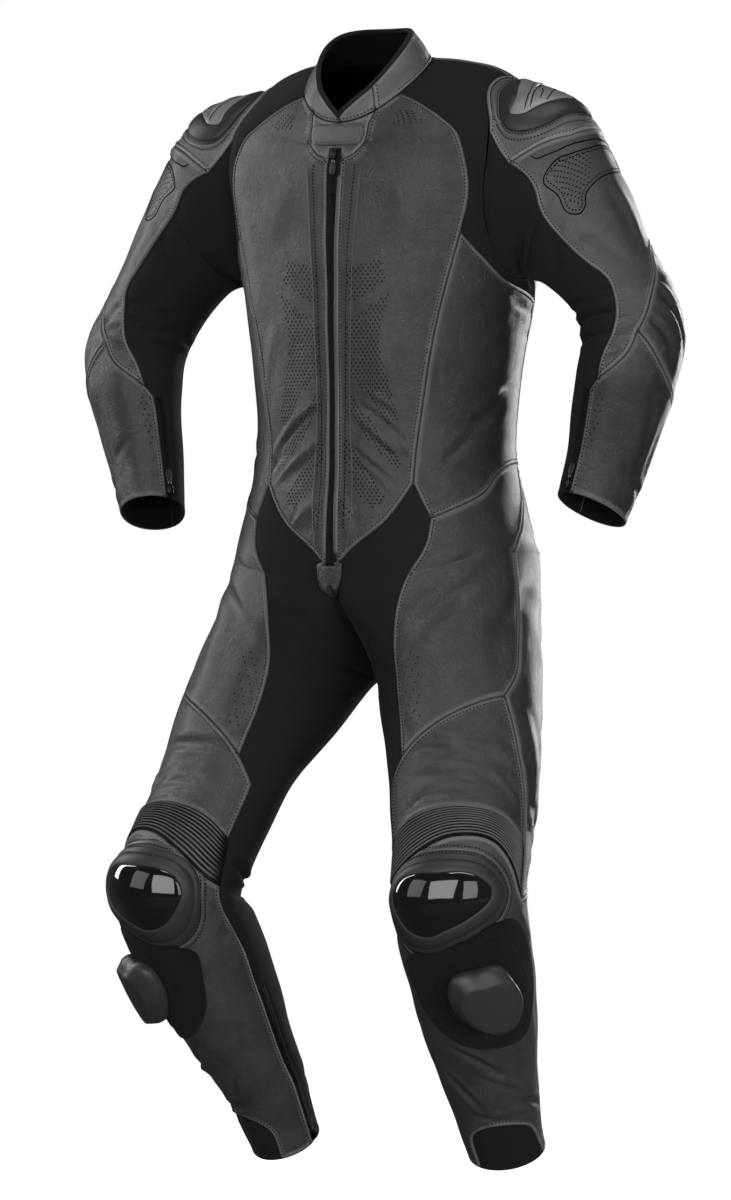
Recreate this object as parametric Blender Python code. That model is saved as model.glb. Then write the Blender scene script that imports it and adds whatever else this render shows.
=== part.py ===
"""Motorcycle race suit, filled out as worn with nobody in it: leather and stretch panels on a hollow form.

Metres, +Z up, the front faces -Y and the wearer's left is +X. The origin is the middle of the neck's base,
where the wearer's shoulders carry the suit. The tables below are in millimetres.
"""

import bpy
import numpy as np
from mathutils import Vector
from mathutils.bvhtree import BVHTree
from mathutils.geometry import delaunay_2d_cdt

MM = 0.001
WALL = 2.0     # thickness of leather and stretch cloth
SEAM = 0.3     # gap between two pieces at a seam, and between a piece and the one it lies on
GRID = dict(torso=50, sleeve=34, leg=39, collar=40)   # spacing of the points inside a piece
STEP = dict(torso=30, sleeve=23, leg=27, collar=24)   # spacing of the points along a seam
ROUND = dict(torso=150, sleeve=62, leg=76, collar=70)  # radius that turns degrees round a tube to millimetres
CLEAR = 7.0    # room between the points of a piece and the outline of what lies on it
COLLAR = 40.0  # length of the collar from its rim to its foot, in the steps of its own tube

# The form is one torso tube, and one sleeve and one leg that the other side mirrors.
# Rings of the torso from the neck down. "down" is the run along the side from the neck, "height" the height
# of the ring's middle, "front" and "back" the Y of its front and back, "tilt" its rise per mm towards the
# back, "square" the power of its outline (2 is an ellipse).
TORSO = dict(
    down=[0, 40, 80, 125, 172, 232, 313, 394, 474, 544, 615, 677, 758],
    height=[30, 26, 15, -13, -59, -120, -200, -280, -360, -430, -500, -562, -640],
    half_width=[78, 120, 158, 190, 202, 198, 187, 174, 164, 162, 175, 194, 208],
    front=[-125, -128, -130, -134, -139, -143, -144, -143, -141, -140, -144, -146, -140],
    back=[15, 42, 70, 98, 118, 130, 134, 130, 122, 116, 120, 126, 112],
    tilt=[0.60, 0.56, 0.50, 0.36, 0.20, 0.08, 0, 0, 0, 0, 0, 0, 0],
    droop=[22, 24, 21, 10, 4, 0, 0, 0, 0, 0, 0, 0, 0],
    square=[2.0, 2.1, 2.25, 2.4, 2.5, 2.45, 2.35, 2.3, 2.25, 2.25, 2.3, 2.35, 2.4],
)

# The collar's rim: the middle and half sizes of its oval, its rise to the back, its sides' extra height.
COLLAR_RIM = dict(half_x=55, half_y=62, y=-64, z=36, rise=48, side=24)

# The armhole is an oval on the torso: its middle and half sizes, in degrees round the torso and mm down.
ARMHOLE = dict(down=208, half_down=128, half_front=31, half_back=33)

# Rings of the left sleeve from the shoulder to the cuff: the middle, the lean of the ring's outer radius
# above the horizontal in degrees, the half size across, the half depths to front and back, and the cant of
# the ring's rear, which opens the cuff towards the front.
SLEEVE = dict(
    down=[75, 145, 205, 265, 320, 375, 430, 485, 540],
    x=[244, 264, 293, 328, 348, 343, 332, 320, 307],
    y=[-12, -14, -17, -12, -26, -40, -44, -47, -55],
    z=[-130, -165, -204, -250, -300, -352, -402, -452, -502],
    lean=[66, 46, 27, 18, 4, -8, -12, -13, -13],
    cant=[0, 0, 0, -3, -8, -14, -18, -22, -26],
    across=[100, 83, 68, 62, 63, 59, 53, 47, 42],
    front=[74, 68, 62, 60, 59, 56, 50, 45, 41],
    back=[76, 70, 66, 58, 61, 62, 55, 49, 43],
)
FOREARM_TURN = dict(down=[0, 250, 290, 345, 390, 480, 540], turn=[0, 0, 7, 13, 18, 20, 20])
LEG = dict(
    down=[150, 215, 280, 345, 410, 465, 520, 575, 635, 695, 737, 774],
    x=[135, 156, 173, 187, 195, 191, 185, 178, 170, 162, 159, 157],
    y=[-66, -98, -127, -156, -178, -158, -129, -99, -67, -33, -10, 9],
    z=[-735, -793, -854, -912, -964, -1013, -1061, -1110, -1159, -1208, -1245, -1277],
    turn=[12, 17, 20, 20, 20, 20, 20, 20, 20, 20, 20, 20],
    lean=[6, 5, 4, 4, 4, 4, 5, 5, 5, 5, 5, 5],
    cant=[-25, -28, -29, -26, -2, 20, 29, 31, 31, 31, 31, 31],
    across=[100, 95, 90, 83, 80, 78, 75, 70, 63, 55, 50, 46],
    front=[94, 76, 66, 68, 76, 72, 68, 62, 53, 46, 42, 40],
    back=[80, 66, 61, 66, 78, 86, 86, 78, 66, 56, 50, 46],
)

# The leg line, where the torso's tube ends and the legs' begin: its depth down the torso at some angles.
LEG_LINE = dict(angle=[-90, -60, -20, 20, 60, 90], down=[706, 690, 668, 668, 690, 712])
CROTCH_HEIGHT = -688   # lowest point of the crotch seam between the legs
CROTCH_MIDDLE = 5      # Y of that point
LEG_SHARE = 125        # degrees round the leg, to each side of its outside, that hang from the torso


def between(table, column, at):
    """A column of a table at any place along its first column, on a smooth curve through its rows."""
    knots = np.array(next(iter(table.values())), float)
    values = np.array(table[column], float)
    slopes = np.gradient(values, knots)
    at = np.clip(at, knots[0], knots[-1])
    i = np.clip(np.searchsorted(knots, at, side="right") - 1, 0, len(knots) - 2)
    span = knots[i + 1] - knots[i]
    t = (at - knots[i]) / span
    return ((2 * t**3 - 3 * t**2 + 1) * values[i] + (t**3 - 2 * t**2 + t) * span * slopes[i]
            + (3 * t**2 - 2 * t**3) * values[i + 1] + (t**3 - t**2) * span * slopes[i + 1])


def rounded(value, square):
    """A sine or cosine with the corners of its ring filled out: power 2 leaves it as it is."""
    return np.sign(value) * np.abs(value) ** (2 / square)


def torso(angle, down):
    """Points of the torso: angle 0 is the left side, 90 the back, -90 the front."""
    turn = np.radians(angle)
    square = between(TORSO, "square", down)
    x = between(TORSO, "half_width", down) * rounded(np.cos(turn), square)
    front, back = between(TORSO, "front", down), between(TORSO, "back", down)
    middle, half = (front + back) / 2, (back - front) / 2
    y = middle + half * rounded(np.sin(turn), square)
    droop = between(TORSO, "droop", down) * ((y - middle) / half) ** 2
    z = between(TORSO, "height", down) + between(TORSO, "tilt", down) * (y - middle) - droop
    return np.stack([x, y, z], -1)


def ring(table, angle, down):
    """Points of a sleeve or leg: angle 0 is its outer side, 90 its back, 180 its inner side."""
    row = {column: between(table, column, down) for column in table}
    turn, lean, cant = np.radians(angle), np.radians(row["lean"]), np.radians(row["cant"])
    twist = np.radians(row.get("turn", 0.0))
    across = row["across"] * np.cos(turn)
    depth = np.where(np.sin(turn) > 0, row["back"], row["front"]) * np.sin(turn)
    x = row["x"] + across * np.cos(lean) * np.cos(twist) - depth * np.cos(cant) * np.sin(twist)
    y = row["y"] + across * np.cos(lean) * np.sin(twist) + depth * np.cos(cant) * np.cos(twist)
    z = row["z"] + across * np.sin(lean) + depth * np.sin(cant)
    return np.stack([x, y, z], -1)


def loft(table, angle, down, start, start_way):
    """The tube below its first ring, and above it a smooth sheet up to the edge it is sewn to."""
    first = table["down"][0]
    step = 4.0
    low = ring(table, angle, np.maximum(down, first))
    end = ring(table, angle, first + 0 * down)
    end_way = (ring(table, angle, first + step + 0 * down) - end) / step
    reach = np.linalg.norm(end - start, axis=-1, keepdims=True)
    end_way = end_way * reach / np.linalg.norm(end_way, axis=-1, keepdims=True)
    t = np.clip(down / first, 0, 1)[..., None]
    high = ((2 * t**3 - 3 * t**2 + 1) * start + (t**3 - 2 * t**2 + t) * start_way * reach
            + (3 * t**2 - 2 * t**3) * end + (t**3 - t**2) * end_way)
    return np.where((down > first)[..., None], low, high)


def unit(way):
    """Directions made one long."""
    return way / np.linalg.norm(way, axis=-1, keepdims=True)


def armhole(angle):
    """The armhole on the torso, as (angle, down) there, for an angle round the sleeve."""
    turn = np.radians(angle)
    half = np.where(np.sin(turn) > 0, ARMHOLE["half_back"], ARMHOLE["half_front"])
    return half * np.sin(turn), ARMHOLE["down"] - ARMHOLE["half_down"] * np.cos(turn)


def sleeve(angle, down):
    """Points of the left sleeve: down 0 is the armhole."""
    edge = torso(*armhole(angle))
    end = ring(SLEEVE, angle, SLEEVE["down"][0] + 0 * down)
    up = (1 + np.cos(np.radians(angle)))[..., None] / 2
    out = np.array([0.86, 0, -0.5])
    way = unit(unit(end - edge) * (1.15 - up) + out * up)
    return loft(SLEEVE, angle, down, edge, way)


def leg_line(angle):
    """Depth down the torso at which the leg's tube takes over."""
    return between(LEG_LINE, "down", angle)


def leg_edge(angle):
    """The top edge of the left leg's tube: the torso's leg line outside, the crotch seam inside."""
    angle = (angle + 180) % 360 - 180
    outside = np.abs(angle) <= LEG_SHARE
    on_torso = np.clip(angle, -LEG_SHARE, LEG_SHARE) * 90 / LEG_SHARE
    hip = torso(on_torso, leg_line(on_torso))
    share = (np.mod(angle, 360) - LEG_SHARE) / (360 - 2 * LEG_SHARE)
    share = np.clip(share, 0, 1)
    back = torso(np.array(90.0), leg_line(90.0))
    front = torso(np.array(-90.0), leg_line(-90.0))
    bow = 4 * share * (1 - share)
    y = back[1] + (front[1] - back[1]) * share
    y = y + (CROTCH_MIDDLE - (back[1] + front[1]) / 2) * bow
    straight = back[2] + (front[2] - back[2]) * share
    z = straight + (CROTCH_HEIGHT - (back[2] + front[2]) / 2) * bow
    seam = np.stack([0 * y, y, z], -1)
    return np.where(outside[..., None], hip, seam)


def leg(angle, down):
    """Points of the left leg: down 0 is its top edge."""
    edge = leg_edge(angle)
    end = ring(LEG, angle, LEG["down"][0] + 0 * down)
    inner = np.clip((np.abs((angle + 180) % 360 - 180) - 70) / 55, 0, 1)[..., None]
    inner = inner * inner * (3 - 2 * inner)
    way = unit(unit(end - edge) * inner + np.array([0.15, -0.2, -1.0]) * (1 - inner))
    return loft(LEG, angle, down, edge, way)


def collar(angle, down):
    """Points of the collar: down 0 is its rim and COLLAR its foot on the torso's neckline."""
    turn = np.radians(angle)
    share = (down / COLLAR)[..., None]
    oval = COLLAR_RIM
    height = oval["z"] + oval["rise"] * np.sin(turn) + oval["side"] * np.cos(turn) ** 2
    rim = np.stack([oval["half_x"] * np.cos(turn), oval["y"] + oval["half_y"] * np.sin(turn), height], -1)
    out = np.stack([np.cos(turn), np.sin(turn), 0 * turn], -1)
    return rim * (1 - share) + torso(angle, 0 * down) * share + out * 12 * share * (1 - share)


TUBES = dict(torso=torso, sleeve=sleeve, leg=leg, collar=collar)


def skin(tube, side, angle, down):
    """Points of the left skin (side 1) or the right one (side -1), whose forearm is turned the other way."""
    angle, down = np.asarray(angle, float), np.asarray(down, float)
    if tube == "sleeve":
        angle = angle + side * between(FOREARM_TURN, "turn", down)
    return TUBES[tube](angle, down) * np.array([side, 1, 1])


# Corners where seams meet: the tube, degrees round it and millimetres down it.
RIB_ROWS = 20
RIB_RISE = 3.0             # height of a rib above the panel
WAIST_RIBS = (530, 640)    # top and bottom of the ribbed panel in the small of the back
CORNERS = dict(
    neck_front=("neck", -90), neck_side=("neck", -57), neck_seam=("neck", -33), neck_rear=("neck", 35),
    neck_back=("neck", 90),
    rim_front=("collar", -90, 29), rim_side=("collar", -49, 0), rim_back=("collar", 90, 0),
    zip_head=("torso", -90, 128), zip_head_side=("torso", -88.9, 128), inset_foot=("torso", -88.9, 155),
    zip_foot=("torso", -90, 684), zip_foot_side=("torso", -88.9, 684),
    stretch_foot=("torso", -40, 280), under_arm=("torso", 20, 358), hip_point=("torso", -56, 585),
    side_point=("torso", -50, 627), waist_top=("torso", 25, WAIST_RIBS[0]),
    waist_side=("torso", 25, WAIST_RIBS[0] + 5 * (WAIST_RIBS[1] - WAIST_RIBS[0]) / RIB_ROWS),
    waist_foot=("torso", 25, WAIST_RIBS[1]),
    spine_top=("torso", 90, WAIST_RIBS[0]), spine_foot=("torso", 90, WAIST_RIBS[1]),
    shoulder_rear=("armhole", 25), cap_front=("armhole", -58), cap_rear=("armhole", 58),
    arm_pit=("armhole", 160),
    cap_tip=("sleeve", -76, 28), cap_tail=("sleeve", 76, 28), outer_tip=("sleeve", -115, 388),
    elbow_front=("sleeve", -70, 320), elbow_back=("sleeve", 110, 210), elbow_foot=("sleeve", 115, 374),
    cuff_back=("sleeve", 120, 540),
    cuff_zip_head=("sleeve", -124, 402), cuff_zip_head_in=("sleeve", -138, 402),
    cuff_zip_foot=("sleeve", -124, 540), cuff_zip_foot_in=("sleeve", -138, 540),
    fork_front=("hip", -125), fork_back=("hip", 125), thigh_inner=("hip", -88), thigh_outer=("hip", -10),
    thigh_foot=("leg", -136, 240), thigh_corner=("leg", -46, 176), knee_inner=("leg", -158, 264),
    rib_inner=("leg", -164, 333), rib_outer=("leg", -18, 351), rib_inner_foot=("leg", -178, 392),
    rib_outer_foot=("leg", -16, 415), calf_outer=("leg", 60, 398), calf_inner=("leg", 115, 394),
    calf_zip_head=("leg", 171, 548), calf_zip_head_in=("leg", 160, 548),
    calf_zip_foot=("leg", 168, 774), calf_zip_foot_in=("leg", 155, 774),
    hem_inner=("leg", -128, 774), hem_outer=("leg", -12, 774), hem_back=("leg", 62, 774),
)
# Seams: first corner, the points between (degrees, millimetres), last corner. Left side only.
SEAMS = dict(
    collar_front_base=("neck_front", [], "neck_side"),
    neckline_front=("neck_side", [], "neck_seam"),
    neckline_shoulder=("neck_seam", [], "neck_rear"),
    neckline_back=("neck_rear", [], "neck_back"),
    collar_middle=("rim_front", [], "neck_front"),
    collar_seam=("rim_side", [], "neck_side"),
    collar_spine=("rim_back", [], "neck_back"),
    rim_front=("rim_front", [(-87, 19), (-80, 9), (-70, 2)], "rim_side"),
    rim_back=("rim_side", [(0, 0), (50, 0)], "rim_back"),
    inset_middle=("neck_front", [], "zip_head"),
    inset=("neck_side", [(-67, 20), (-75, 55), (-79.7, 90), (-83.6, 131), (-86.8, 150)], "inset_foot"),
    zip_head=("zip_head", [], "zip_head_side"),
    zip_side_high=("zip_head_side", [], "inset_foot"),
    zip_side=("inset_foot", [], "zip_foot_side"),
    zip_foot=("zip_foot", [], "zip_foot_side"),
    zip_middle=("zip_head", [], "zip_foot"),
    front_high=("neck_seam", [(-39, 58), (-42, 128), (-41, 176), (-38, 224)], "stretch_foot"),
    front_low=("stretch_foot", [(-47, 400), (-51, 500)], "hip_point"),
    vee=("hip_point", [(-70, 630), (-84, 664)], "zip_foot_side"),
    hip_short=("hip_point", [], "side_point"),
    front_fork=("zip_foot", [], "fork_front"),
    stretch_low=("stretch_foot", [(-28, 308), (-10, 338)], "under_arm"),
    pit=("arm_pit", [], "under_arm"),
    shoulder=("neck_rear", [(27, 45)], "shoulder_rear"),
    side_rear=("under_arm", [(24, 400), (26, 480)], "waist_top"),
    side_low=("waist_side", [(7, 560), (-20, 598)], "side_point"),
    waist_high=("waist_top", [], "waist_side"),
    waist_low=("waist_side", [], "waist_foot"),
    waist_head=("waist_top", [(60, 524)], "spine_top"),
    waist_base=("waist_foot", [(60, 642)], "spine_foot"),
    spine=("neck_back", [], "spine_top"),
    waist_middle=("spine_top", [], "spine_foot"),
    seat=("spine_foot", [], "fork_back"),
    hole_cap=("cap_front", [], "shoulder_rear"),
    hole_rear=("shoulder_rear", [], "cap_rear"),
    hole_back=("cap_rear", [], "arm_pit"),
    hole_under=("cap_front", [], "arm_pit"),
    cap_side=("cap_front", [(-67, 12)], "cap_tip"),
    cap_side_rear=("cap_rear", [(67, 12)], "cap_tail"),
    cap_low=("cap_tip", [(-62, 48), (-34, 74), (22, 80), (58, 56)], "cap_tail"),
    outer_front=("cap_tip", [(-85, 90), (-81, 176), (-76, 219), (-73, 246), (-81, 275), (-97, 318),
                             (-108, 345)], "outer_tip"),
    outer_rear=("arm_pit", [(135, 80), (118, 150)], "elbow_back"),
    outer_low=("outer_tip", [(-96, 369), (-82, 351)], "elbow_front"),
    elbow_high=("elbow_front", [(-40, 280), (-17, 255), (0, 233), (30, 212), (70, 206)], "elbow_back"),
    elbow_rear=("elbow_back", [(112, 300)], "elbow_foot"),
    elbow_low=("elbow_front", [(-40, 352), (0, 378), (60, 386)], "elbow_foot"),
    forearm_rear=("elbow_foot", [(118, 460)], "cuff_back"),
    forearm_front=("outer_tip", [], "cuff_zip_head"),
    cuff_zip_top=("cuff_zip_head", [], "cuff_zip_head_in"),
    cuff_zip_side=("cuff_zip_head", [], "cuff_zip_foot"),
    cuff_zip_side_in=("cuff_zip_head_in", [], "cuff_zip_foot_in"),
    cuff_zip_end=("cuff_zip_foot", [], "cuff_zip_foot_in"),
    cuff_outer=("cuff_zip_foot", [(0, 540)], "cuff_back"),
    cuff_inner=("cuff_back", [(180, 540)], "cuff_zip_foot_in"),
    hip_stretch=("fork_front", [], "thigh_inner"),
    hip_front=("thigh_inner", [], "thigh_outer"),
    hip_back=("thigh_outer", [], "fork_back"),
    fork=("fork_back", [], "fork_front"),
    thigh_inner_top=("side_point", [(-54, 655)], "thigh_inner"),
    thigh_inner=("thigh_inner", [(-97, 33), (-107, 70), (-122, 125), (-131, 180)], "thigh_foot"),
    thigh_outer_top=("waist_side", [(14, 605), (2, 640)], "thigh_outer"),
    thigh_outer=("thigh_outer", [(-13, 57), (-22, 100), (-33, 146)], "thigh_corner"),
    thigh_low=("thigh_corner", [(-66, 188), (-97, 208), (-120, 226)], "thigh_foot"),
    knee_inner_top=("thigh_foot", [], "knee_inner"),
    knee_inner=("knee_inner", [], "rib_inner"),
    knee_outer=("thigh_corner", [(-40, 225), (-31, 280)], "rib_outer"),
    rib_top=("rib_inner", [(-130, 318), (-96, 315), (-50, 324)], "rib_outer"),
    rib_side=("rib_inner", [(-172, 362)], "rib_inner_foot"),
    rib_side_outer=("rib_outer", [(-14, 380)], "rib_outer_foot"),
    rib_low=("rib_inner_foot", [(-163, 386), (-128, 366), (-92, 352), (-60, 354), (-34, 376)],
             "rib_outer_foot"),
    shin_top=("rib_outer_foot", [(20, 404)], "calf_outer"),
    calf_top=("calf_outer", [], "calf_inner"),
    calf_top_in=("calf_inner", [(150, 392)], "rib_inner_foot"),
    leg_rear=("fork_back", [(121, 100), (117, 250)], "calf_inner"),
    shin_inner=("rib_inner_foot", [(171, 474)], "calf_zip_head"),
    shin_rear=("calf_outer", [(66, 560)], "hem_back"),
    calf_zip_top=("calf_zip_head", [], "calf_zip_head_in"),
    calf_zip_side=("calf_zip_head", [(172, 650)], "calf_zip_foot"),
    calf_zip_side_in=("calf_zip_head_in", [(161, 650)], "calf_zip_foot_in"),
    calf_zip_end=("calf_zip_foot", [], "calf_zip_foot_in"),
    hem_calf=("hem_back", [], "calf_zip_foot_in"),
    hem_front=("hem_inner", [(-70, 774)], "hem_outer"),
    hem_outer=("hem_outer", [], "hem_back"),
    hem_inner=("calf_zip_foot", [], "hem_inner"),
    gusset=("hem_inner", [(-124, 728), (-90, 709), (-60, 712), (-38, 724), (-22, 752)], "hem_outer"),
)
# Seams that need a set number of steps, because a ribbed panel's rows or columns end on them.
COUNTS = dict(rib_side=RIB_ROWS, rib_side_outer=RIB_ROWS, rib_top=9, rib_low=9, waist_high=5,
              waist_low=RIB_ROWS - 5, waist_middle=RIB_ROWS, waist_head=5, waist_base=5,
              rim_front=6, inset=8, zip_head=1, zip_foot=1, zip_side_high=1, zip_side=19, zip_middle=20,
              cuff_zip_top=2, cuff_zip_end=2, calf_zip_top=2, calf_zip_end=2,
              cuff_zip_side=6, cuff_zip_side_in=6, calf_zip_side=10, calf_zip_side_in=10)


def on_tube(tube, corner):
    """A corner's place (degrees, millimetres) on one of the tubes that it belongs to."""
    kind, *place = CORNERS[corner]
    if kind == "neck":
        return (place[0], COLLAR if tube == "collar" else 0.0)
    if kind == "armhole":
        return (place[0], 0.0) if tube == "sleeve" else tuple(float(v) for v in armhole(place[0]))
    if kind == "hip":
        angle = place[0] * 90 / LEG_SHARE
        return (place[0], 0.0) if tube == "leg" else (angle, float(leg_line(np.array(float(angle)))))
    return tuple(place)


def smooth_line(knots, share):
    """Places along a smooth line through its knots; share runs from 0 to 1."""
    if len(knots) == 2:
        return knots[0] + (knots[1] - knots[0]) * share[:, None]
    length = np.hypot(np.diff(knots[:, 0]), np.diff(knots[:, 1]))
    at = np.concatenate([[0], np.cumsum(length)])
    columns = [between(dict(at=at, value=knots[:, c]), "value", share * at[-1]) for c in (0, 1)]
    return np.stack(columns, -1)


def seam_places(tube, name):
    """A seam's points as (degrees, millimetres) on a tube, from its first corner to its last."""
    first, inner, last = SEAMS[name]
    kinds = [CORNERS[first][0], CORNERS[last][0]]
    shared = dict(neck="torso", armhole="sleeve", hip="leg")
    own = [k for k in kinds if k not in shared]
    if own:
        home = own[0]
    elif kinds[0] == kinds[1]:
        home = shared[kinds[0]]
    else:
        home = "torso"
    knots = np.array([on_tube(home, first), *inner, on_tube(home, last)], float)
    knots[:, 0] = np.degrees(np.unwrap(np.radians(knots[:, 0])))
    fine = smooth_line(knots, np.linspace(0, 1, 60))
    points = TUBES[home](fine[:, 0], fine[:, 1])
    along = np.concatenate([[0], np.cumsum(np.linalg.norm(np.diff(points, axis=0), axis=1))])
    steps = COUNTS.get(name) or max(2, round(along[-1] / STEP[home]))
    places = smooth_line(knots, np.interp(np.linspace(0, along[-1], steps + 1), along, np.linspace(0, 1, 60)))
    if home == tube:
        return places
    if home == "sleeve":
        return np.stack(armhole(places[:, 0]), -1)
    if home == "leg":
        angle = places[:, 0] * 90 / LEG_SHARE
        return np.stack([angle, leg_line(angle)], -1)
    return np.stack([places[:, 0], 0 * places[:, 1] + COLLAR], -1)


def loop_places(tube, seams):
    """The closed outline of a patch, from its seams in order; a minus sign takes a seam from its end."""
    outline = []
    for name in seams:
        places = seam_places(tube, name.strip("-"))
        if name[0] == "-":
            places = places[::-1]
        if outline:
            places = places + [360 * round((outline[-1][0] - places[0, 0]) / 360), 0]
            assert np.abs(places[0] - outline[-1]).max() < 0.01, (name, places[0], outline[-1])
        outline.extend(places)
    assert np.abs(np.array(outline[0]) - outline[-1]).max() < 0.01, (seams, outline[0], outline[-1])
    keep = [outline[0]]
    for place in outline[1:-1]:
        if np.abs(np.array(place) - keep[-1]).max() > 1e-6:
            keep.append(place)
    return np.array(keep)


def inside(points, outline):
    """Which points lie inside a closed outline."""
    x, y = points[:, 0][:, None], points[:, 1][:, None]
    a, b = outline, np.roll(outline, -1, axis=0)
    crosses = (a[:, 1] > y) != (b[:, 1] > y)
    with np.errstate(divide="ignore", invalid="ignore"):
        at = a[:, 0] + (y - a[:, 1]) * (b[:, 0] - a[:, 0]) / (b[:, 1] - a[:, 1])
    return (crosses & (x < at)).sum(axis=1) % 2 == 1


def from_edges(points, outline):
    """Distance from points to the nearest edge of a closed outline."""
    a, b = outline[None], np.roll(outline, -1, axis=0)[None]
    p = points[:, None]
    share = np.clip(((p - a) * (b - a)).sum(-1) / ((b - a) ** 2).sum(-1), 0, 1)[..., None]
    return np.linalg.norm(a + (b - a) * share - p, axis=-1).min(axis=1)


def fill(tube, outline, lines=(), extra=()):
    """Triangles that fill an outline on a tube: places (degrees, millimetres) and corner numbers."""
    scale = scale_of(tube)
    flat = outline * scale
    size = GRID[tube]
    low, high = flat.min(axis=0), flat.max(axis=0)
    rows = np.arange(low[1], high[1], size * 0.87)
    cells = [np.stack([np.arange(low[0] + (i % 2) * size / 2, high[0], size), row + 0 * np.arange(
        low[0] + (i % 2) * size / 2, high[0], size)], -1) for i, row in enumerate(rows)]
    grid = np.concatenate(cells)
    grid = grid[inside(grid, flat)]
    grid = grid[from_edges(grid, flat) > size * 0.45]
    fixed = [np.array(line) * scale for line in lines]
    for line in fixed:
        grid = grid[~inside(grid, line)]
        if len(grid):
            grid = grid[from_edges(grid, line) > size * 0.4]
    points = [flat, *fixed, *(np.array(e).reshape(-1, 2) * scale for e in extra), grid]
    edges, start = [], 0
    for ring_points in points[:1 + len(fixed)]:
        count = len(ring_points)
        edges += [(start + i, start + (i + 1) % count) for i in range(count)]
        start += count
    given = np.concatenate(points)
    result = delaunay_2d_cdt([Vector(p) for p in given], edges, [], 1, 1e-4)
    places = given[[origins[0] for origins in result[3]]]
    faces = np.array([f for f in result[2]])
    middles = places[faces].mean(axis=1)
    faces = faces[inside(middles, flat)]
    return places / scale, faces


def grid_fill(tube, top, bottom, start, end):
    """A ribbed panel or a zip's tape as rows of places between four seams, and its triangles."""
    def line(names):
        parts = [seam_places(tube, n) for n in names]
        joined = np.concatenate([parts[0]] + [p[1:] for p in parts[1:]])
        return joined
    high, low, left, right = line(top), line(bottom), line(start), line(end)
    for edge, corner in ((left, high[0]), (right, high[-1]), (low, left[-1])):
        edge[:, 0] += 360 * np.round((corner[0] - edge[0, 0]) / 360)
    across = np.linspace(0, 1, len(high))[None, :, None]
    along = np.linspace(0, 1, len(left))[:, None, None]
    places = ((1 - along) * high[None] + along * low[None]
              + (1 - across) * left[:, None] + across * right[:, None]
              - (1 - along) * ((1 - across) * high[0] + across * high[-1])
              - along * ((1 - across) * low[0] + across * low[-1]))
    rows, columns = places.shape[:2]
    corner = (np.arange(rows - 1)[:, None] * columns + np.arange(columns - 1)).ravel()
    faces = np.concatenate([np.stack([corner, corner + 1, corner + columns + 1], -1),
                            np.stack([corner, corner + columns + 1, corner + columns], -1)])
    a, b, c = (places.reshape(-1, 2)[faces[:, i]] for i in range(3))
    if ((b - a)[:, 0] * (c - a)[:, 1] - (b - a)[:, 1] * (c - a)[:, 0]).sum() < 0:
        faces = faces[:, ::-1]
    row = np.repeat(np.arange(rows), columns)
    column = np.tile(np.arange(columns), rows)
    return places.reshape(-1, 2), faces, row, column, columns


def closed_line(knots, count):
    """A smooth closed outline through its knots, as count points."""
    knots = np.array(knots, float)
    ring_knots = np.concatenate([knots[-2:], knots, knots[:3]])
    length = np.hypot(*np.diff(ring_knots, axis=0).T)
    at = np.concatenate([[0], np.cumsum(length)])
    share = np.linspace(at[2], at[2 + len(knots)], count, endpoint=False)
    return np.stack([between(dict(at=at, value=ring_knots[:, c]), "value", share) for c in (0, 1)], -1)


def reach(points, outline, centre):
    """How far out points lie between an outline's centre (0) and the outline (1)."""
    ray = points - centre
    a, b = outline - centre, np.roll(outline, -1, axis=0) - centre
    cross = a[:, 0] * b[:, 1] - a[:, 1] * b[:, 0]
    u = (ray[:, :1] * b[:, 1] - ray[:, 1:] * b[:, 0]) / cross
    v = (a[:, 0] * ray[:, 1:] - a[:, 1] * ray[:, :1]) / cross
    return np.where((u >= -1e-6) & (v >= -1e-6), u + v, 0).max(axis=1)


# What lies on a panel: its outline on the tube, and its height above the panel from its edge to its middle.
LAID = dict(
    knee_cup=dict(on="shin_panel", count=18, base=SEAM, shares=[1, 0.92, 0.77, 0.4, 0],
                  heights=[4.0, 9.0, 8.0, 12.0, 13.0], knots=[
                      (-152, 405), (-146, 388), (-130, 374), (-92, 361), (-62, 364), (-40, 386), (-40, 418),
                      (-62, 440), (-103, 450), (-138, 436)]),
    knee_patch=dict(on="shin_panel", count=22, base=SEAM, shares=[1, 0.80], heights=[2.8, 2.8], knots=[
        (-60, 458), (-34, 445), (-17, 460), (-12, 492), (-24, 545), (-61, 574), (-98, 567), (-128, 543),
        (-142, 500), (-148, 463), (-130, 454), (-104, 464)]),
    knee_puck=dict(on="shin_panel", count=15, base=2.8 + SEAM, shares=[1, 0.88, 0.5, 0],
                   heights=[15, 25, 30, 31], knots=[
                       (-76, 470), (-50, 474), (-38, 492), (-38, 524), (-52, 546), (-72, 556), (-92, 548),
                       (-104, 530), (-105, 500), (-96, 478)]),
    shoulder_slider=dict(on="shoulder_cap", count=17, base=SEAM, shares=[1, 0.88, 0.74, 0],
                         heights=[3.0, 7.5, 7.0, 10.0], knots=[
                             (-50, 27), (-44, 15), (-5, 13), (28, 16), (38, 34), (30, 58), (0, 66), (-28, 62),
                             (-45, 46)]),
    collar_tab=dict(on="neck_inset", count=0, base=SEAM, shares=[1, 0], heights=[4.0, 4.0], knots=[
        (-90, 11), (-81.4, 11.5), (-74.8, 20), (-73.2, 33), (-75.9, 55), (-80.1, 87), (-83.4, 119),
        (-87, 122), (-90, 120)]),
)

# Places that the triangles of a patch must reach, where the form folds.
FOLDS = {("thigh_stretch", "leg"): [[
    (-125, 22), (-125, 44), (-125, 70), (-124, 100), (-108, 30), (-106, 64), (-146, 30), (-146, 62),
    (-146, 96), (-167, 34), (-168, 70), (-190, 34), (-190, 70), (-212, 30), (-212, 62)]]}

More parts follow.
